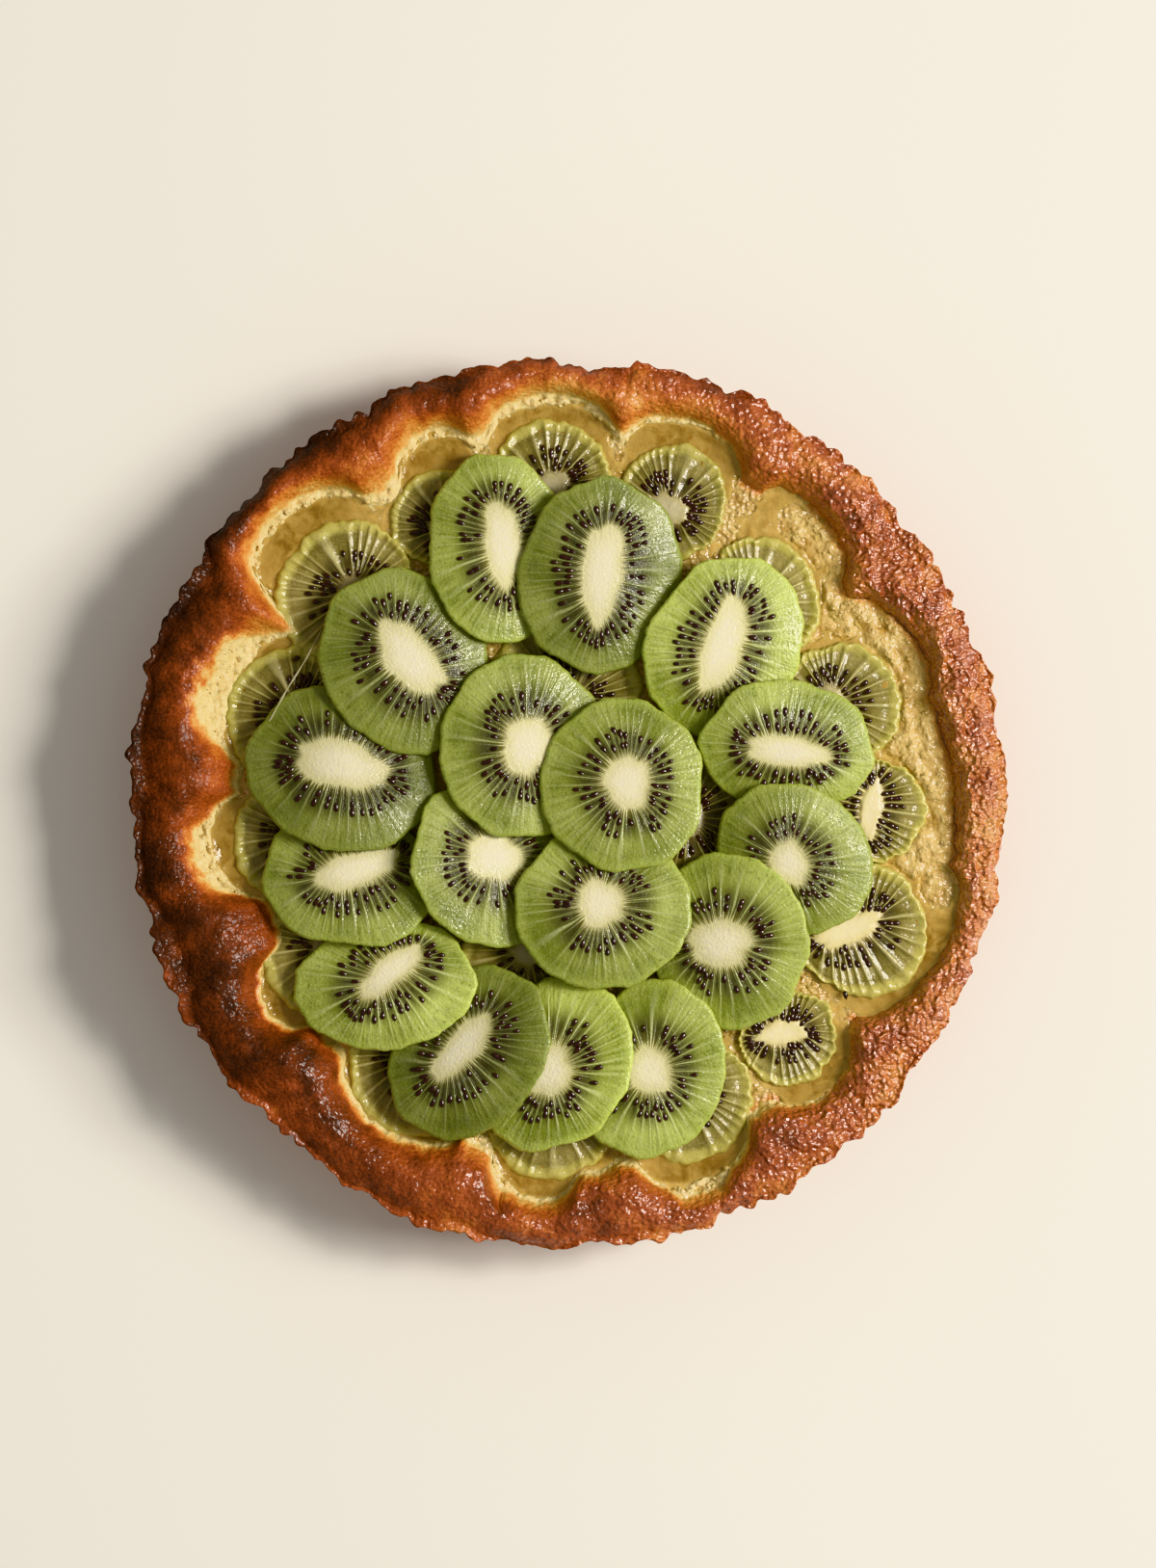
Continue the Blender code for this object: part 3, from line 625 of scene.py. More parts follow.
def draw_grain():
    """A bearing, and how far outward from the rim's inner edge a grain of crumb lies there."""
    pick = draw.random()
    if pick < TORN_LIP_SHARE:
        middle, spread, width = draw.choice(TORN_LIPS)
        return math.radians(middle + spread * draw.uniform(-1, 1)), draw.uniform(-0.8, width) * MM
    if pick < TORN_LIP_SHARE + PALE_LIP_SHARE:
        return math.radians(draw.uniform(*PALE_LIP_BEARINGS)), draw.uniform(0.4, 2.4) * MM
    return math.radians(DRY_BEARING + DRY_SPREAD * draw.uniform(-0.85, 0.85)), draw.uniform(-14, -1.5) * MM


def turned(flat, angle):
    """Turns places, seen flat, round the origin."""
    x, y = flat[:, 0], flat[:, 1]
    cosine, sine = math.cos(angle), math.sin(angle)
    return np.column_stack((x * cosine - y * sine, x * sine + y * cosine))


def joined_piece(name, shapes, shape_faces):
    """One piece of many small shapes, which all have the same faces."""
    starts = range(0, len(shapes) * len(shapes[0]), len(shapes[0]))
    faces = [[start + corner for corner in face] for start in starts for face in shape_faces]
    mesh = bpy.data.meshes.new(name)
    mesh.from_pydata(np.concatenate(shapes).tolist(), [], faces)
    piece = bpy.data.objects.new(name, mesh)
    bpy.context.scene.collection.objects.link(piece)
    return piece


grain_bearing, grain_out = np.array([draw_grain() for _ in range(CRUMB_GRAINS)]).T
inner = smooth_scallop(grain_bearing, CUSP_ROUNDING)
over_floor = (inner + grain_out - LEVEL_RING) / (inner - LEVEL_RING)
over_rim = grain_out / (rim_reach(grain_bearing) - inner)
grain_station = np.where(grain_out > 0, 1 + over_rim, part_way(LEVEL_SHARE, 1.0, over_floor))
grain_places = case_points(grain_bearing, grain_station)[0]
clumped = lumps(grain_places, CRUMB_CLUMP, 2, 60.0) > -0.15
kept = clumped & (under_slices(grain_places) < 0.3) & (grain_out < lip_width(grain_bearing) + 0.3 * MM)
on_dry_side = dryness(grain_bearing) > 0.5
kept &= ~on_dry_side | (grain_places[:, 2] > DRY_CRUMB_LEVEL)
grains, grain_shade = [], []
for place in grain_places[kept]:
    shape = grain_shapes[draw.randrange(CRUMB_SHAPES)]
    turn = draw.uniform(0, 2 * math.pi)
    size = part_way(*CRUMB_RADIUS, draw.random() ** 2) * MM
    grain = np.column_stack((turned(shape, turn), shape[:, 2]))
    grains.append(place + grain * size + (0, 0, size * draw.uniform(-0.75, -0.35)))
    grain_shade.append(draw.uniform(0.0, 0.12))
torn_crumb = joined_piece("torn_crumb", grains, grain_faces)
give(torn_crumb, "browning_and_shade", np.repeat(grain_shade, len(grains[0])))
give(torn_crumb, "glaze", 0.3)
give(torn_crumb, "soaked", np.repeat(0.6 * on_dry_side[kept], len(grains[0])))
# Grains this small let light through to the sponge under them, so their own colour is all that is seen
bare_crumb = baked_crust.copy()
bare_crumb.name = "torn sponge crumb"
surface = bare_crumb.node_tree.nodes["Principled BSDF"]
bare_crumb.node_tree.links.remove(surface.inputs["Subsurface Weight"].links[0])
surface.inputs["Subsurface Weight"].default_value = 0.0
finish_piece(torn_crumb, bare_crumb, "sponge_crust")

# Syrup
# The fruit's juice and the sugar made a cloudy, olive-yellow jelly, which stands in the hollows between the
# rim and the baked slices and creeps up a little at their walls.
SYRUP_LEVEL = 23.45 * MM
SYRUP_START = 66.0 * MM
SYRUP_CREEP = 0.5 * MM
SYRUP_LAP = 2.4 * MM
SYRUP_THICK = 1.2 * MM
SYRUP_DEEP = 1.3 * MM
SYRUP_BEDDED = 0.25 * MM
SYRUP_RINGS = 40
SYRUP_AROUND = 720

syrup = start_piece(
    "syrup", bpy.ops.mesh.primitive_grid_add,
    x_subdivisions=SYRUP_RINGS, y_subdivisions=SYRUP_AROUND, size=1,
)
flat = points_of(syrup) + 0.5
bearing = flat[:, 1] * 2 * math.pi
inner = smooth_scallop(bearing, CUSP_ROUNDING)
radius = part_way(SYRUP_START, inner + SYRUP_LAP, flat[:, 0] ** 0.8)
flat = np.column_stack((radius * np.cos(bearing), radius * np.sin(bearing), np.zeros_like(radius)))
bed = floor_height(bearing, radius, flat)
creep = SYRUP_CREEP * ramp(radius - inner, -1.2 * MM, 0.6 * MM) * np.clip(wetness(bearing) * 3, 0, 1)
lumpy = lumps(flat, 6 * MM, 2, 21.0) * 0.2 + np.abs(lumps(flat, 2.6 * MM, 2, 22.0)) * 0.35
flat[:, 2] = SYRUP_LEVEL + creep + (lumpy - 0.1) * MM
move_points(syrup, flat)
standing = flat[:, 2] - bed
give(syrup, "depth", np.clip(standing / SYRUP_DEEP, 0, 1) * ramp(radius - inner, 1.2 * MM, -0.8 * MM))
select_points(syrup, standing < -SYRUP_BEDDED)
bpy.ops.mesh.delete(type="VERT")
bpy.ops.mesh.select_all(action="SELECT")
bpy.ops.mesh.remove_doubles(threshold=MERGE_DISTANCE)
bpy.ops.mesh.extrude_region_move(TRANSFORM_OT_translate={"value": (0, 0, -SYRUP_THICK)})
close_up()

# Jelly of juice and sugar: amber where it is deep, clouded with pulp, and wet, with ripples in its skin
kiwi_jelly, tree, surface = new_material("kiwi syrup jelly")
coords = add(tree, "TexCoord", {}).outputs["Object"]
cloud = add(tree, "TexNoise", {"Scale": 1 / (4 * MM), "Detail": 4.0, "Distortion": 0.8, "Vector": coords})
cloud = add(tree, "MapRange", {0: cloud, 1: 0.42, 2: 0.62, 4: 0.85})
depth = add(tree, "Attribute", {"attribute_name": "depth"}).outputs["Fac"]
clear = add(tree, "Mix", {"data_type": "RGBA", 0: depth, 6: "#cfb06a", 7: "#87672a"})
ripple = add(tree, "TexNoise", {"Scale": 1 / (1.6 * MM), "Detail": 2.0, "Vector": coords})
fill(surface, {
    "Base Color": add(tree, "Mix", {"data_type": "RGBA", 0: cloud, 6: clear, 7: "#b29554"}),
    "Normal": add(tree, "Bump", {"Strength": 0.6, "Distance": 0.5 * MM, "Height": ripple}),
    "Roughness": 0.14,
    "IOR": 1.5,
    "Subsurface Weight": 0.5,
    "Subsurface Radius": (1.0, 0.7, 0.25),
    "Subsurface Scale": 2.0 * MM,
})
finish_piece(syrup, kiwi_jelly, "baked_kiwi")

# Slice blank
# A plain round slice of unit size, from which every kiwi slice is shaped: rings that close in over its top,
# a wall, and a plain underside. It is deleted when all the slices have been copied from it.
SPOKES = 240
CORE_SHARE = 0.28
TOP_RINGS = (
    0.985, 0.965, 0.94, 0.91, 0.875, 0.84, 0.80, 0.76, 0.72, 0.68, 0.64, 0.60, 0.56, 0.52, 0.48, 0.44, 0.40,
    0.36, 0.33, 0.305, 0.28, 0.25, 0.2, 0.13, 0.06,
)
UNDER_RINGS = (0.9, 0.5)
BEND_SIZE = 25 * MM


def shrink_in(radii, level):
    """Extrudes the selected ring inwards, ring by ring, and closes the last one to a point."""
    radius = 1.0
    for smaller in radii:
        bpy.ops.mesh.extrude_edges_move()
        share = smaller / radius
        bpy.ops.transform.resize(value=(share, share, 1), center_override=(0, 0, level))
        radius = smaller
    bpy.ops.mesh.extrude_edges_move()
    bpy.ops.mesh.merge(type="CENTER")


blank = start_piece(
    "slice_blank", bpy.ops.mesh.primitive_circle_add, vertices=SPOKES, radius=1, fill_type="NOTHING",
)
bpy.ops.object.mode_set(mode="EDIT")
bpy.ops.mesh.select_mode(type="VERT")
for lift in (0.5, 0.5):
    bpy.ops.mesh.extrude_edges_move(TRANSFORM_OT_translate={"value": (0, 0, lift)})
shrink_in(TOP_RINGS, 1)
bpy.ops.object.mode_set(mode="OBJECT")
select_points(blank, points_of(blank)[:, 2] < 0.1)
shrink_in(UNDER_RINGS, 0)
close_up()
blank_points = points_of(blank)
spoke = np.arctan2(blank_points[:, 1], blank_points[:, 0]) % (2 * math.pi)
spread = np.hypot(blank_points[:, 0], blank_points[:, 1])
past_core = np.where(spread > CORE_SHARE, (spread - CORE_SHARE) / (1 - CORE_SHARE), spread / CORE_SHARE - 1)


def bend_terms(x, y):
    return np.column_stack((np.ones_like(x), x, y, x * x, x * y, y * y))


def underside_of(node, terms):
    """The height function of a solid slice's underside: a plane has three terms and a gentle bend six."""
    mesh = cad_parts[node].data
    below = [mesh.vertices[i].co for face in mesh.polygons if face.normal.z < -0.5 for i in face.vertices]
    below = np.array(below) / BEND_SIZE
    shape = np.linalg.lstsq(bend_terms(below[:, 0], below[:, 1])[:, :terms], below[:, 2], rcond=None)[0]
    return lambda x, y: bend_terms(x / BEND_SIZE, y / BEND_SIZE)[:, :terms] @ shape * BEND_SIZE


def reach_to(corners, start, direction):
    """How far it is from a start inside an outline to the outline, along each direction."""
    edge = np.roll(corners, -1, axis=0) - corners
    offset = corners - start
    cross = direction[:, None, 0] * edge[None, :, 1] - direction[:, None, 1] * edge[None, :, 0]
    cross = np.where(np.abs(cross) < 1e-12, 1e-12, cross)
    distance = (offset[:, 0] * edge[:, 1] - offset[:, 1] * edge[:, 0])[None, :] / cross
    along = (offset[None, :, 0] * direction[:, None, 1] - offset[None, :, 1] * direction[:, None, 0]) / cross
    hit = (along > -1e-6) & (along < 1 + 1e-6) & (distance > 0)
    return np.where(hit, distance, np.inf).min(axis=1)


class Fruit:
    """Where the parts of one slice are: its core, its rays from the core to its outline, and its wedges."""

    def __init__(self, corners, core, wedges, seed, blur=0):
        middle_x, middle_y, long, short, turn = core
        self.middle = np.array((middle_x, middle_y)) * MM
        self.core = np.array((long, short)) * MM / 2
        self.turn = math.radians(turn)
        self.wedges = wedges
        self.seed = seed
        self.around = np.arange(SPOKES + 1) * 2 * math.pi / SPOKES
        direction = turned(np.column_stack((1.12 * np.cos(self.around), np.sin(self.around))), self.turn)
        direction /= np.linalg.norm(direction, axis=1)[:, None]
        reach = reach_to(corners, self.middle, direction)[:-1]
        if blur:
            reach = smoothed(reach, 2 * blur + 1)
        self.edge = self.middle + direction * np.append(reach, reach[0])[:, None]
        self.wedge = self.wedge_at(spoke)
        self.off_ray = np.abs(self.wedge - np.round(self.wedge))

    def wedge_at(self, around):
        """The wedge number at a spoke, which isn't even all the way round."""
        sway = 0.5 * np.sin(3 * around + self.seed) + 0.4 * np.sin(5 * around + 2 * self.seed)
        return self.wedges * around / (2 * math.pi) + sway

    def place(self, around, past):
        """Places from the middle of the core, past = -1, by its edge, 0, to the outline, 1."""
        dent = 0.07 * np.sin(2 * around + self.seed) + 0.06 * np.sin(3 * around + 2.3 * self.seed)
        dent += 0.045 * np.sin(5 * around + 1.7 * self.seed) + 0.035 * np.sin(8 * around + 0.7 * self.seed)
        flat = np.column_stack((np.cos(around), np.sin(around))) * self.core * (1 + dent)[:, None]
        core = self.middle + turned(flat, self.turn)
        edge = np.column_stack([np.interp(around, self.around, self.edge[:, i]) for i in (0, 1)])
        outside = part_way(core, edge, past[:, None])
        inside = part_way(self.middle, core, 1 + past[:, None])
        return np.where(past[:, None] > 0, outside, inside)

    def pushed_out(self, flat, distance):
        """Flat places, moved away from the middle of the core by the distance of each."""
        away = np.linalg.norm(flat - self.middle, axis=1)
        return flat + (flat - self.middle) / np.maximum(away, 1 * MM)[:, None] * distance[:, None]


def slice_piece(name, fruit):
    """Copies the blank, with a UV map that counts wedges one way and runs out from the core the other."""
    piece = blank.copy()
    piece.data = blank.data.copy()
    piece.name = piece.data.name = name
    bpy.context.scene.collection.objects.link(piece)
    corner = numbers_of(piece.data.loops, "vertex_index", np.int32)
    starts = numbers_of(piece.data.polygons, "loop_start", np.int32)
    sizes = numbers_of(piece.data.polygons, "loop_total", np.int32)
    around = spoke[corner]
    most = np.repeat(np.maximum.reduceat(around, starts), sizes)
    around = np.where(most - around > math.pi, around + 2 * math.pi, around)
    places = np.column_stack((fruit.wedge_at(around), past_core[corner]))
    piece.data.uv_layers.new(name="wedges").data.foreach_set("uv", places.astype(np.float32).ravel())
    return piece


def own_space(flat, number):
    """Places for the lumps of one slice, which no other slice repeats."""
    return np.column_stack((flat, np.full(len(flat), 0.1 * number)))


def stand_slice(piece, flat, under, thickness, relief, sunk):
    """Stands a slice on its underside, sunk in a little, with the relief of its top in millimetres."""
    bottom = under(flat[:, 0], flat[:, 1])
    level = part_way(bottom - sunk, bottom + thickness + relief * MM, blank_points[:, 2])
    move_points(piece, np.column_stack((flat, level)))


# Seeds
# Kiwi seeds are small, hard, nearly black teardrops with a wet shine. Each points at the core, in a wedge
# between two rays, half sunk in the flesh. One is modelled here, and the slices collect their places.
SEED_SIZE = (1.25 * MM, 0.78 * MM, 0.55 * MM)
SEED_SUNK = 0.05 * MM
one_seed = start_piece(
    "one_seed", bpy.ops.mesh.primitive_uv_sphere_add,
    segments=8, ring_count=6, radius=1, rotation=(0, math.pi / 2, 0),
)
bpy.ops.object.transform_apply(location=False, rotation=True, scale=False)
seed_shape = points_of(one_seed)
seed_shape[:, 1:] *= (0.78 + 0.26 * seed_shape[:, :1] - 0.12 * seed_shape[:, :1] ** 2) / 0.9
seed_faces = [list(face.vertices) for face in one_seed.data.polygons]
bpy.data.objects.remove(one_seed)


def scatter_seeds(fruit, under, thickness, rows, missing):
    """Places for a slice's seeds, two or three deep in its wedges: place, bearing and size of each."""
    found = []
    number = fruit.wedge_at(fruit.around)
    for wedge in range(int(math.ceil(number[0])), int(math.floor(number[-1]))):
        around = np.interp(wedge + 0.5 + draw.uniform(-0.08, 0.08), number, fruit.around)
        inner, outer = fruit.place(np.array([around, around]), np.array([0.0, 1.0]))
        for low, high in rows:
            if draw.random() < missing:
                continue
            x, y = part_way(inner, outer, draw.uniform(low, high))
            bearing = math.atan2(*(outer - inner)[::-1]) + draw.uniform(-0.25, 0.25)
            level = under(np.array([x]), np.array([y]))[0] + thickness - SEED_SUNK
            found.append((x, y, level, bearing, draw.uniform(0.82, 1.12)))
    return found


def seed_piece(name, seeds):
    """All the seeds of a kind as one piece."""
    shapes = []
    for x, y, z, bearing, size in seeds:
        shape = seed_shape * np.array(SEED_SIZE) * size
        tipped = turned(shape[:, [0, 2]], draw.uniform(-0.25, 0.1))
        lying = turned(np.column_stack((tipped[:, 0], shape[:, 1])), bearing)
        shapes.append(np.column_stack((lying, tipped[:, 1])) + (x, y, z))
    return joined_piece(name, shapes, seed_faces)


# The skin of a seed is hard, smooth and waxy: brown-black, with a small sharp shine
seed_skin, tree, surface = new_material("kiwi seed skin")
coords = add(tree, "TexCoord", {}).outputs["Object"]
shade = add(tree, "TexNoise", {"Scale": 1 / (3 * MM), "Detail": 1.0, "Vector": coords})
fill(surface, {
    "Base Color": add(tree, "Mix", {"data_type": "RGBA", 0: shade, 6: "#100605", 7: "#3a1711"}),
    "Roughness": 0.3,
    "Coat Weight": 0.8,
    "Coat Roughness": 0.05,
})

# Baked kiwi slices
# Slices that were pressed into the batter and baked with it. They went olive, shrank and wrinkled, so that
# their pale rays stand up in ridges and their edges curl, and they shine with syrup.
BAKED_THICK = 3.2 * MM
BAKED_WEDGES = 30
BAKED_GROWTH = 1.05
BAKED_PUSH = 0.7 * MM
BAKED_SUNK = 0.2 * MM
BAKED_WRINKLES = ((5, 2, 32.0, 0.22), (1.6, 1, 33.0, 0.08))
# Where the seeds lie, as shares of the way from the core to the outline, and the share that is missing
BAKED_SEED_ROWS = ((0.06, 0.2), (0.22, 0.36), (0.38, 0.48))
BAKED_SEEDS_MISSING = 0.3
# A core that doesn't show: its two widths, and how far it lies from the slice's middle to the tart's (mm)
HIDDEN_CORE = (10.0, 7.5)
HIDDEN_CORE_SHIFT = 3.0
# The cores that show, by node: middle x and y, two widths, and the bearing of the longer one (mm, degrees)
BAKED_CORES = {
    "baked_kiwi_12": (81.8, -2.0, 17.0, 5.0, 78),
    "baked_kiwi_11": (75.4, -34.6, 20.0, 6.5, 22),
    "baked_kiwi_10": (57.5, -62.5, 14.0, 6.0, 12),
}


def kiwi_material(name, look):
    """Flesh in wedges: pale rays run out from the core, and between them is darker, clear flesh round the
    seeds. Its map counts wedges one way, and runs from the core, 0, to the outline, 1, the other."""
    material, tree, surface = new_material(name)
    coords = add(tree, "TexCoord", {}).outputs["Object"]
    wedge_map = add(tree, "UVMap", {"uv_map": "wedges"})
    wedge, past, _ = add(tree, "SeparateXYZ", {0: wedge_map}).outputs

    stretched = add(tree, "Mapping", {"Scale": (1.0, 1.6, 1.0), 0: wedge_map})
    sway = add(tree, "TexNoise", {"Scale": 1.0, "Detail": 1.0, 0: stretched})
    swayed = add(tree, "Math", {"operation": "MULTIPLY_ADD", 0: sway, 1: 0.34, 2: wedge})
    centred = add(tree, "Math", {"operation": "SUBTRACT", 0: swayed, 1: 0.17})
    off_ray = add(tree, "Math", {"operation": "PINGPONG", 0: centred, 1: 0.5})
    per_wedge = add(tree, "TexNoise", {"noise_dimensions": "1D", "Scale": 1.3, "Detail": 0.0, "W": wedge})
    streaks = add(tree, "Mapping", {"Scale": (3.2, 1.5, 1.0), 0: wedge_map})
    streaks = add(tree, "TexNoise", {"Scale": 1.0, "Detail": 3.0, "Roughness": 0.6, 0: streaks})
    specks = add(tree, "Mapping", {"Scale": (4.5, 16.0, 1.0), 0: wedge_map})
    specks = add(tree, "TexNoise", {"Scale": 1.0, "Detail": 1.0, 0: specks})
    grain = add(tree, "TexNoise", {"Scale": 1 / (0.8 * MM), "Detail": 2.0, "Vector": coords})

    smooth = {"interpolation_type": "SMOOTHSTEP"}
    ray_width = add(tree, "MapRange", {0: past, 3: look["ray_width"][0], 4: look["ray_width"][1]})
    ray_edge = add(tree, "Math", {"operation": "MULTIPLY", 0: ray_width, 1: 0.25})
    ray_end, ray_start = look["ray_end"]
    ray = add(tree, "MapRange", {**smooth, 0: off_ray, 1: ray_edge, 2: ray_width, 3: 1.0, 4: 0.0})
    ray_fade = add(tree, "MapRange", {0: past, 1: ray_start, 2: ray_end, 4: look["ray_strength"]})
    ray_shade = add(tree, "MapRange", {0: per_wedge, 1: 0.3, 2: 0.7, 3: 0.45})
    for share in (ray_fade, ray_shade):
        ray = add(tree, "Math", {"operation": "MULTIPLY", 0: ray, 1: share})
    hair_turn = add(tree, "Math", {"operation": "MULTIPLY_ADD", 0: centred, 1: 2.0, 2: 0.5})
    off_hair = add(tree, "Math", {"operation": "PINGPONG", 0: hair_turn, 1: 0.5})
    hair = add(tree, "MapRange", {**smooth, 0: off_hair, 1: 0.04, 2: 0.14, 3: 1.0, 4: 0.0})
    hair_fade = add(tree, "MapRange", {0: past, 1: 0.45, 2: 0.05, 4: look["hair_strength"]})
    hair = add(tree, "Math", {"operation": "MULTIPLY", 0: hair, 1: hair_fade})
    ray = add(tree, "Math", {"operation": "MAXIMUM", 0: ray, 1: hair})

    ragged = add(tree, "Math", {"operation": "MULTIPLY_ADD", 0: streaks, 1: -0.3, 2: past})
    full_dark, no_dark = look["dark_end"]
    dark = add(tree, "MapRange", {**smooth, 0: ragged, 1: no_dark - 0.15, 2: full_dark - 0.15})
    dark_start = add(tree, "MapRange", {**smooth, 0: past, 2: 0.14, 3: 0.45})
    dark_side = add(tree, "MapRange", {**smooth, 0: off_ray, 2: 0.2, 3: 0.3})
    for share in (dark_start, dark_side, look["dark_strength"]):
        dark = add(tree, "Math", {"operation": "MULTIPLY", 0: dark, 1: share})
    speck_band = add(tree, "MapRange", {0: past, 1: 0.5, 2: 0.75})
    speck = add(tree, "MapRange", {0: specks, 1: 0.6, 2: 0.75, 4: look["speck_strength"]})
    speck = add(tree, "Math", {"operation": "MULTIPLY", 0: speck, 1: speck_band})
    # Painted glints: fine pale specks over the outer flesh, in the colour of the rays, stand in for tiny wet
    # highlights
    painted_glints = add(tree, "TexNoise", {"Scale": 1 / (0.55 * MM), "Detail": 1.0, "Vector": coords})
    painted_glints = add(tree, "MapRange", {0: painted_glints, 1: 0.5, 2: 0.68, 4: 0.22})
    painted_glint_band = add(tree, "MapRange", {0: past, 1: 0.3, 2: 0.7})
    painted_glints = add(tree, "Math", {"operation": "MULTIPLY", 0: painted_glints, 1: painted_glint_band})
    halo = add(tree, "MapRange", {0: past, 1: 0.22, 2: 0.04, 4: 0.55})
    edge = add(tree, "MapRange", {0: past, 1: look["edge_band"][0], 2: look["edge_band"][1], 4: 0.8})

    cloud = add(tree, "TexNoise", {"Scale": 1 / (16 * MM), "Detail": 1.0, "Vector": coords})
    clouded = add(tree, "Math", {"operation": "MULTIPLY_ADD", 0: cloud, 1: 1.1, 2: -0.55})
    tone = add(tree, "Math", {"operation": "ADD", 0: streaks, 1: clouded})
    tone = add(tree, "MapRange", {0: tone, 1: 0.25, 2: 0.75})
    flesh = add(tree, "Mix", {"data_type": "RGBA", 0: tone, 6: look["flesh"][0], 7: look["flesh"][1]})
    layers = ((edge, "edge"), (speck, "speck"), (painted_glints, "ray"), (dark, "dark"), (halo, "halo"), (ray, "ray"))
    for cover, tint in layers:
        flesh = add(tree, "Mix", {"data_type": "RGBA", 0: cover, 6: flesh, 7: look[tint]})
    core_depth = add(tree, "MapRange", {0: past, 1: 0.0, 2: -0.6})
    core = add(tree, "Mix", {"data_type": "RGBA", 0: core_depth, 6: look["core"][0], 7: look["core"][1]})
    brightness = add(tree, "Attribute", {"attribute_name": "brightness"}).outputs["Fac"]
    flesh = add(tree, "HueSaturation", {"Value": brightness, "Color": flesh})
    core_brightness = add(tree, "Attribute", {"attribute_name": "core_brightness"}).outputs["Fac"]
    core = add(tree, "HueSaturation", {"Value": core_brightness, "Color": core})
    core_edge = add(tree, "Math", {"operation": "MULTIPLY_ADD", 0: ray, 1: -0.16, 2: ragged})
    core_share = add(tree, "MapRange", {**smooth, 0: core_edge, 1: -0.08, 2: -0.17})

    outside = add(tree, "MapRange", {0: past, 1: -0.1, 2: 0.15})
    raised = add(tree, "Math", {"operation": "ADD", 0: ray, 1: streaks})
    height = add(tree, "Math", {"operation": "MULTIPLY_ADD", 0: raised, 1: outside, 2: grain})
    bump = add(tree, "Bump", {"Strength": look["bump"], "Distance": 0.25 * MM, "Height": height})
    wet = add(tree, "TexNoise", {"Scale": 1 / (7 * MM), "Detail": 2.0, "Vector": coords})
    least_wet, most_wet = look["wetness"]
    fill(surface, {
        "Base Color": add(tree, "Mix", {"data_type": "RGBA", 0: core_share, 6: flesh, 7: core}),
        "Normal": bump,
        "Roughness": look["roughness"],
        "IOR": 1.38,
        "Subsurface Weight": 0.35,
        "Subsurface Radius": (0.8, 1.0, 0.3),
        "Subsurface Scale": 1.2 * MM,
        "Coat Weight": add(tree, "MapRange", {0: wet, 1: 0.45, 2: 0.62, 3: least_wet, 4: most_wet}),
        "Coat Roughness": 0.07,
        "Coat Normal": bump,
    })
    return material


# Kiwi that was baked in sugar: olive and clear, with rays that catch the light
baked_flesh = kiwi_material("baked kiwi flesh", {
    "flesh": ("#71672f", "#a0945a"), "core": ("#d5c890", "#ece0b4"), "halo": "#7f6a3a",
    "edge": "#c4ba66", "edge_band": (0.75, 0.85), "speck": "#5c5018", "speck_strength": 0.3,
    "dark": "#3a331a", "dark_end": (0.25, 0.6), "dark_strength": 0.8,
    "ray": "#d5cd94", "ray_width": (0.15, 0.2), "ray_end": (0.55, 0.98), "ray_strength": 0.65,
    "hair_strength": 0.3, "bump": 0.6, "roughness": 0.28, "wetness": (0.5, 0.9),
})
baked_seeds = []
draw = random.Random(11)
for number, node in enumerate(BAKED_NODES, 1):
    corners = outline_of(node)
    middle = corners.mean(axis=0)
    push = middle / np.linalg.norm(middle) * BAKED_PUSH
    corners = middle + (corners - middle) * BAKED_GROWTH + push
    middle = corners.mean(axis=0) / MM
    inward = middle * (1 - HIDDEN_CORE_SHIFT / max(np.linalg.norm(middle), 4 * HIDDEN_CORE_SHIFT))
    across = math.degrees(math.atan2(middle[1], middle[0])) + 90
    core = BAKED_CORES.get(node, (*inward, *HIDDEN_CORE, across))
    fruit = Fruit(corners, core, BAKED_WEDGES, number, blur=7)
    flat = fruit.place(spoke, past_core)
    space = own_space(flat, number)
    bulge = 0.4 * np.abs(np.sin(math.pi * fruit.wedge)) + 0.7 * lumps(space, 5 * MM, 2, 34.0)
    flat = fruit.pushed_out(flat, bulge * ramp(past_core, 0.5, 1.0) * MM)
    ridge = np.exp(-(fruit.off_ray / 0.17) ** 2) * ramp(past_core, 0.02, 0.2) * ramp(past_core, 0.98, 0.8)
    turn = 2 * math.pi * fruit.wedge
    crimp = 0.4 * np.cos(turn) + 0.35 * np.cos(2 * turn + 3 * lumps(space, 7 * MM, 1, 35.0))
    curl = ramp(past_core, 0.76, 0.93) * (0.75 + 0.45 * (crimp + lumps(space, 6 * MM, 1, 31.0)))
    trough = 0.25 * ramp(past_core, 0.7, 0.78) * ramp(past_core, 0.86, 0.8)
    dip = 0.35 * (ramp(past_core, -0.2, 0.3) - ramp(past_core, 0.05, -0.1))
    rounding = 0.8 * ramp(past_core, 0.955, 1.0)
    relief = 0.45 * ridge + 0.6 * curl - trough - dip + lump_layers(space, BAKED_WRINKLES) - rounding
    under = underside_of(node, 3)
    piece = slice_piece(f"baked_slice_{number:02d}", fruit)
    stand_slice(piece, flat, under, BAKED_THICK, relief, BAKED_SUNK)
    give(piece, "brightness", draw.uniform(0.84, 1.0))
    give(piece, "core_brightness", 1.0 if node in BAKED_CORES else 0.62)
    baked_seeds += scatter_seeds(fruit, under, BAKED_THICK, BAKED_SEED_ROWS, BAKED_SEEDS_MISSING)
    finish_piece(piece, baked_flesh, "baked_kiwi", node)

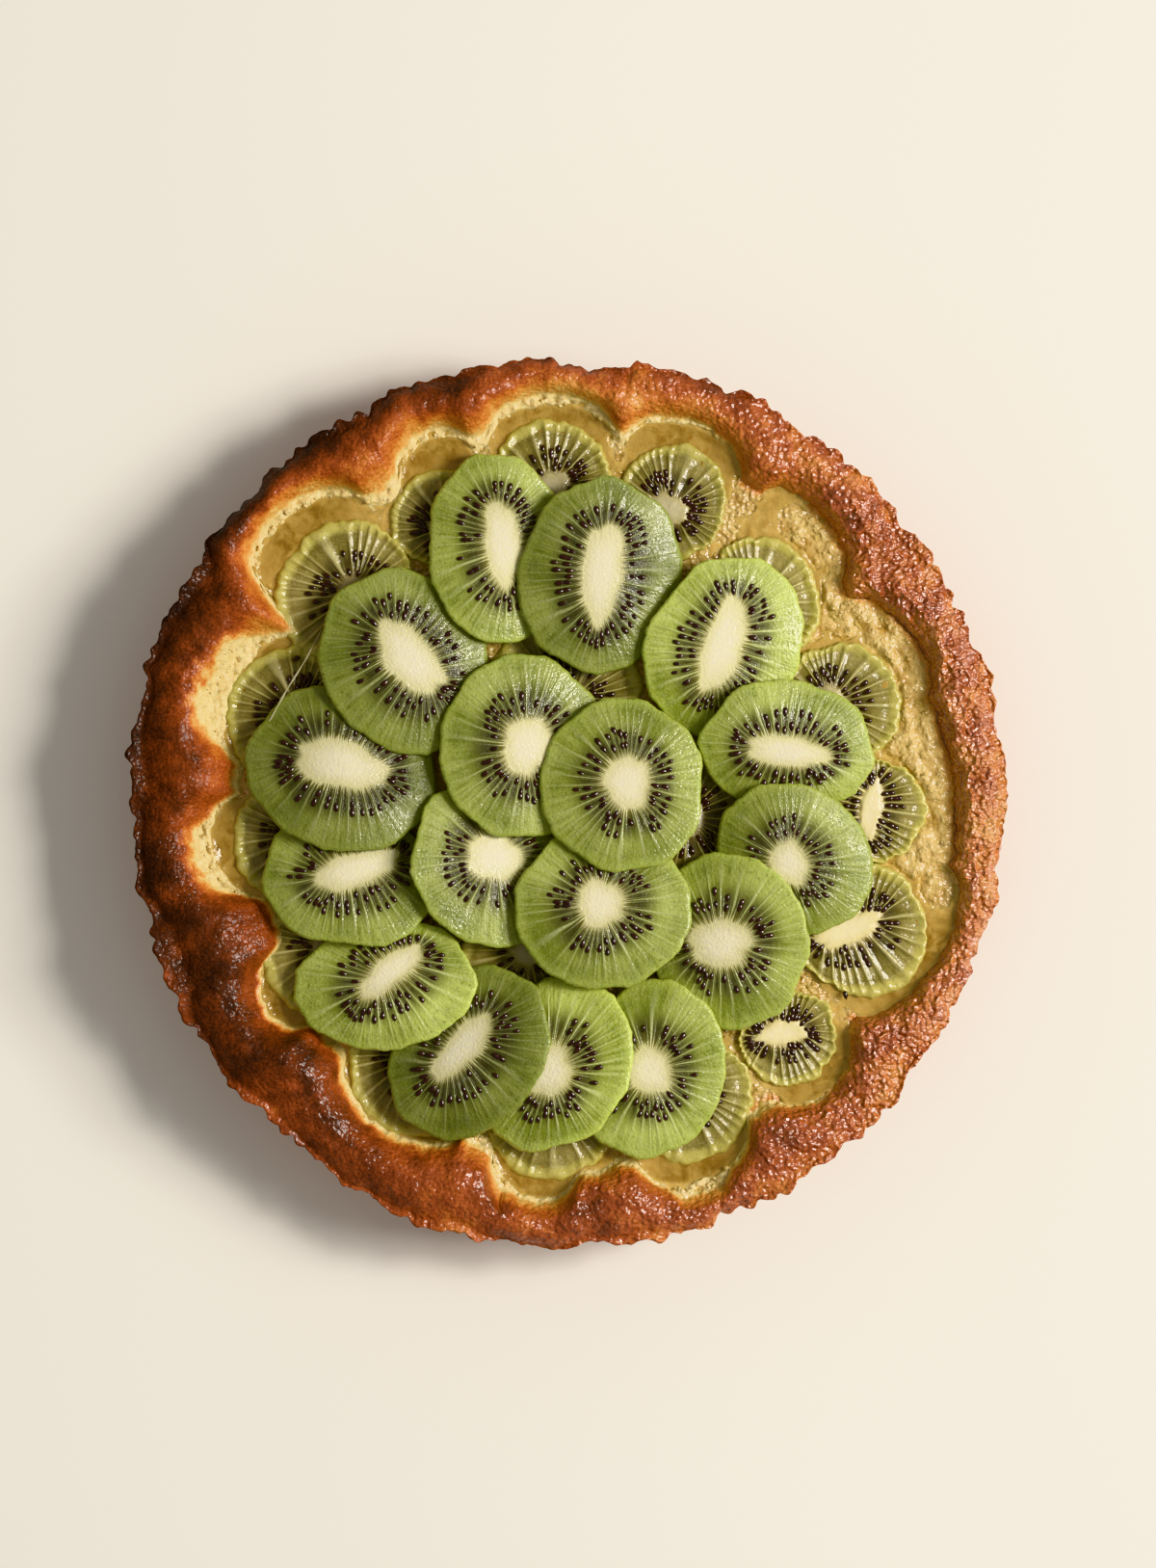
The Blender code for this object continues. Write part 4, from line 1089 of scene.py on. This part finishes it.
# Fresh kiwi slices
# Slices of peeled ripe fruit, laid on after baking: a ring in which each lies on the next, and four in the
# middle. The peeling knife left straight facets round them. They are wet, and light gets a little way in.
FRESH_THICK = 3.5 * MM
FRESH_EDGE = 0.7 * MM
FRESH_SUNK = 0.3 * MM
FRESH_WAVES = ((14, 1, 41.0, 0.16), (3, 1, 42.0, 0.03))
KNIFE_NICKS = 0.22 * MM
FRESH_SEED_ROWS = ((0.13, 0.29), (0.32, 0.47))
FRESH_SEEDS_MISSING = 0.25
# The cores, in the nodes' order: middle x and y, two widths, and the bearing of the longer one (mm, degrees)
FRESH_CORES = (
    (9.1, 61.6, 25.2, 10.9, 85), (-17.7, 69.4, 22.1, 9.1, 100), (-42.6, 38.7, 23.9, 10.9, 132),
    (-61.1, 10.1, 25.5, 11.4, 165), (-57.2, -18.2, 22.9, 8.3, 14), (-47.8, -45.5, 19.0, 7.3, 38),
    (-28.6, -66.0, 20.3, 8.3, 50), (-5.2, -72.3, 13.0, 11.4, 90), (21.6, -72.3, 12.0, 11.4, 0),
    (40.8, -38.0, 17.2, 11.4, 0), (59.3, -16.6, 11.4, 9.4, 90), (58.8, 13.5, 20.8, 7.8, 171),
    (41.6, 42.1, 23.9, 10.4, 72), (-19.8, -14.8, 13.5, 12.2, 0), (-11.2, 15.1, 15.1, 11.4, 82),
    (8.6, -27.3, 12.2, 11.4, 0), (15.9, 5.2, 14.0, 11.2, 80),
)
# How bright the flesh of each is, in the same order: partly how ripe it is, and partly painted light and
# shade, darker where a slice lies in shade or tilts away from the window; the core gets a weaker share of it
FRESH_TONE_AND_SHADE = (
    0.57, 0.88, 0.60, 0.54, 0.77, 1.03, 0.54, 1.13, 0.91, 0.86, 0.71, 0.86, 1.01, 0.76, 0.75, 0.79, 0.80,
)
# Ripe green kiwi: bright wet flesh, cream core, fine pale rays
fresh_flesh = kiwi_material("fresh kiwi flesh", {
    "flesh": ("#788431", "#b9c36c"), "core": ("#d6d09c", "#ede6c6"), "halo": "#857a44",
    "edge": "#b3c062", "edge_band": (0.8, 1.0), "speck": "#5f6f28", "speck_strength": 0.65,
    "dark": "#4a4728", "dark_end": (0.26, 0.66), "dark_strength": 0.95,
    "ray": "#ced39f", "ray_width": (0.08, 0.2), "ray_end": (0.35, 0.95), "ray_strength": 0.62,
    "hair_strength": 0.5, "bump": 0.9, "roughness": 0.44, "wetness": (0.08, 0.85),
})
fresh_seeds = []
for number, (core, brightness) in enumerate(zip(FRESH_CORES, FRESH_TONE_AND_SHADE), 1):
    node = f"fresh_kiwi_{number:02d}"
    wedges = round(30 + 0.45 * core[2])
    fruit = Fruit(outline_of(node), core, wedges, number + 20)
    flat = fruit.place(spoke, past_core)
    nicks = lumps(own_space(flat, number), 2.6 * MM, 2, 40.0)
    flat = fruit.pushed_out(flat, nicks * KNIFE_NICKS * ramp(past_core, 0.9, 1.0))
    between = ramp(fruit.off_ray, 0.1, 0.4) * ramp(past_core, 0.0, 0.15) * ramp(past_core, 0.75, 0.4)
    wave = lump_layers(own_space(flat, number), FRESH_WAVES)
    edge_share = np.clip((past_core - 0.955) / 0.045, 0, 1)
    rounding = FRESH_EDGE / MM * (1 - np.sqrt(1 - edge_share ** 2 * 0.98))
    under = underside_of(node, 6)
    piece = slice_piece(f"fresh_slice_{number:02d}", fruit)
    stand_slice(piece, flat, under, FRESH_THICK, wave - 0.13 * between - rounding, FRESH_SUNK)
    give(piece, "brightness", brightness)
    give(piece, "core_brightness", 0.70 + 0.26 * brightness)
    fresh_seeds += scatter_seeds(fruit, under, FRESH_THICK, FRESH_SEED_ROWS, FRESH_SEEDS_MISSING)
    finish_piece(piece, fresh_flesh, "fresh_kiwi", node)
bpy.data.objects.remove(blank)

finish_piece(seed_piece("fresh_seeds", fresh_seeds), seed_skin, "fresh_kiwi")
# Seeds that came loose and stuck elsewhere: place (mm) and bearing in degrees
for x, y, z, turn in ((-73.6, 38.7, 25.2, 30), (74.9, -52.3, 25.4, 100), (-70.2, 33.9, 25.2, 80)):
    baked_seeds.append((x * MM, y * MM, z * MM, math.radians(turn), 1.0))
finish_piece(seed_piece("baked_seeds", baked_seeds), seed_skin, "baked_kiwi")

# Syrup thread
# A thin thread of clear syrup that was drawn over two slices at the left as they were laid.
THREAD_PLACES = (
    (-66.5, 46.5, 30.6), (-70.6, 38.6, 30.8), (-76.2, 29.6, 31.0), (-80.4, 22.0, 30.6), (-83.7, 14.8, 29.2),
)
THREAD_RADIUS = 0.28 * MM
thread = start_piece(
    "syrup_thread", bpy.ops.mesh.primitive_grid_add, x_subdivisions=48, y_subdivisions=10, size=1,
)
along, around = (points_of(thread)[:, :2] + 0.5).T
steps = np.linspace(0, 1, len(THREAD_PLACES))
path = np.column_stack([np.interp(along, steps, line) for line in zip(*THREAD_PLACES)]) * MM
girth = THREAD_RADIUS * np.sin(math.pi * np.clip(along, 0.02, 0.98)) ** 0.4 * (1 + 0.35 * np.sin(37 * along))
path[:, 0] += girth * np.cos(2 * math.pi * around)
path[:, 2] += girth * np.sin(2 * math.pi * around)
move_points(thread, path)
close_up()
# Sugar syrup is clear and a little yellow, and smooth as glass
clear_syrup, tree, surface = new_material("clear syrup")
fill(surface, {"Base Color": "#e9e6c4", "Roughness": 0.05, "IOR": 1.42, "Transmission Weight": 0.6})
finish_piece(thread, clear_syrup, "fresh_kiwi")
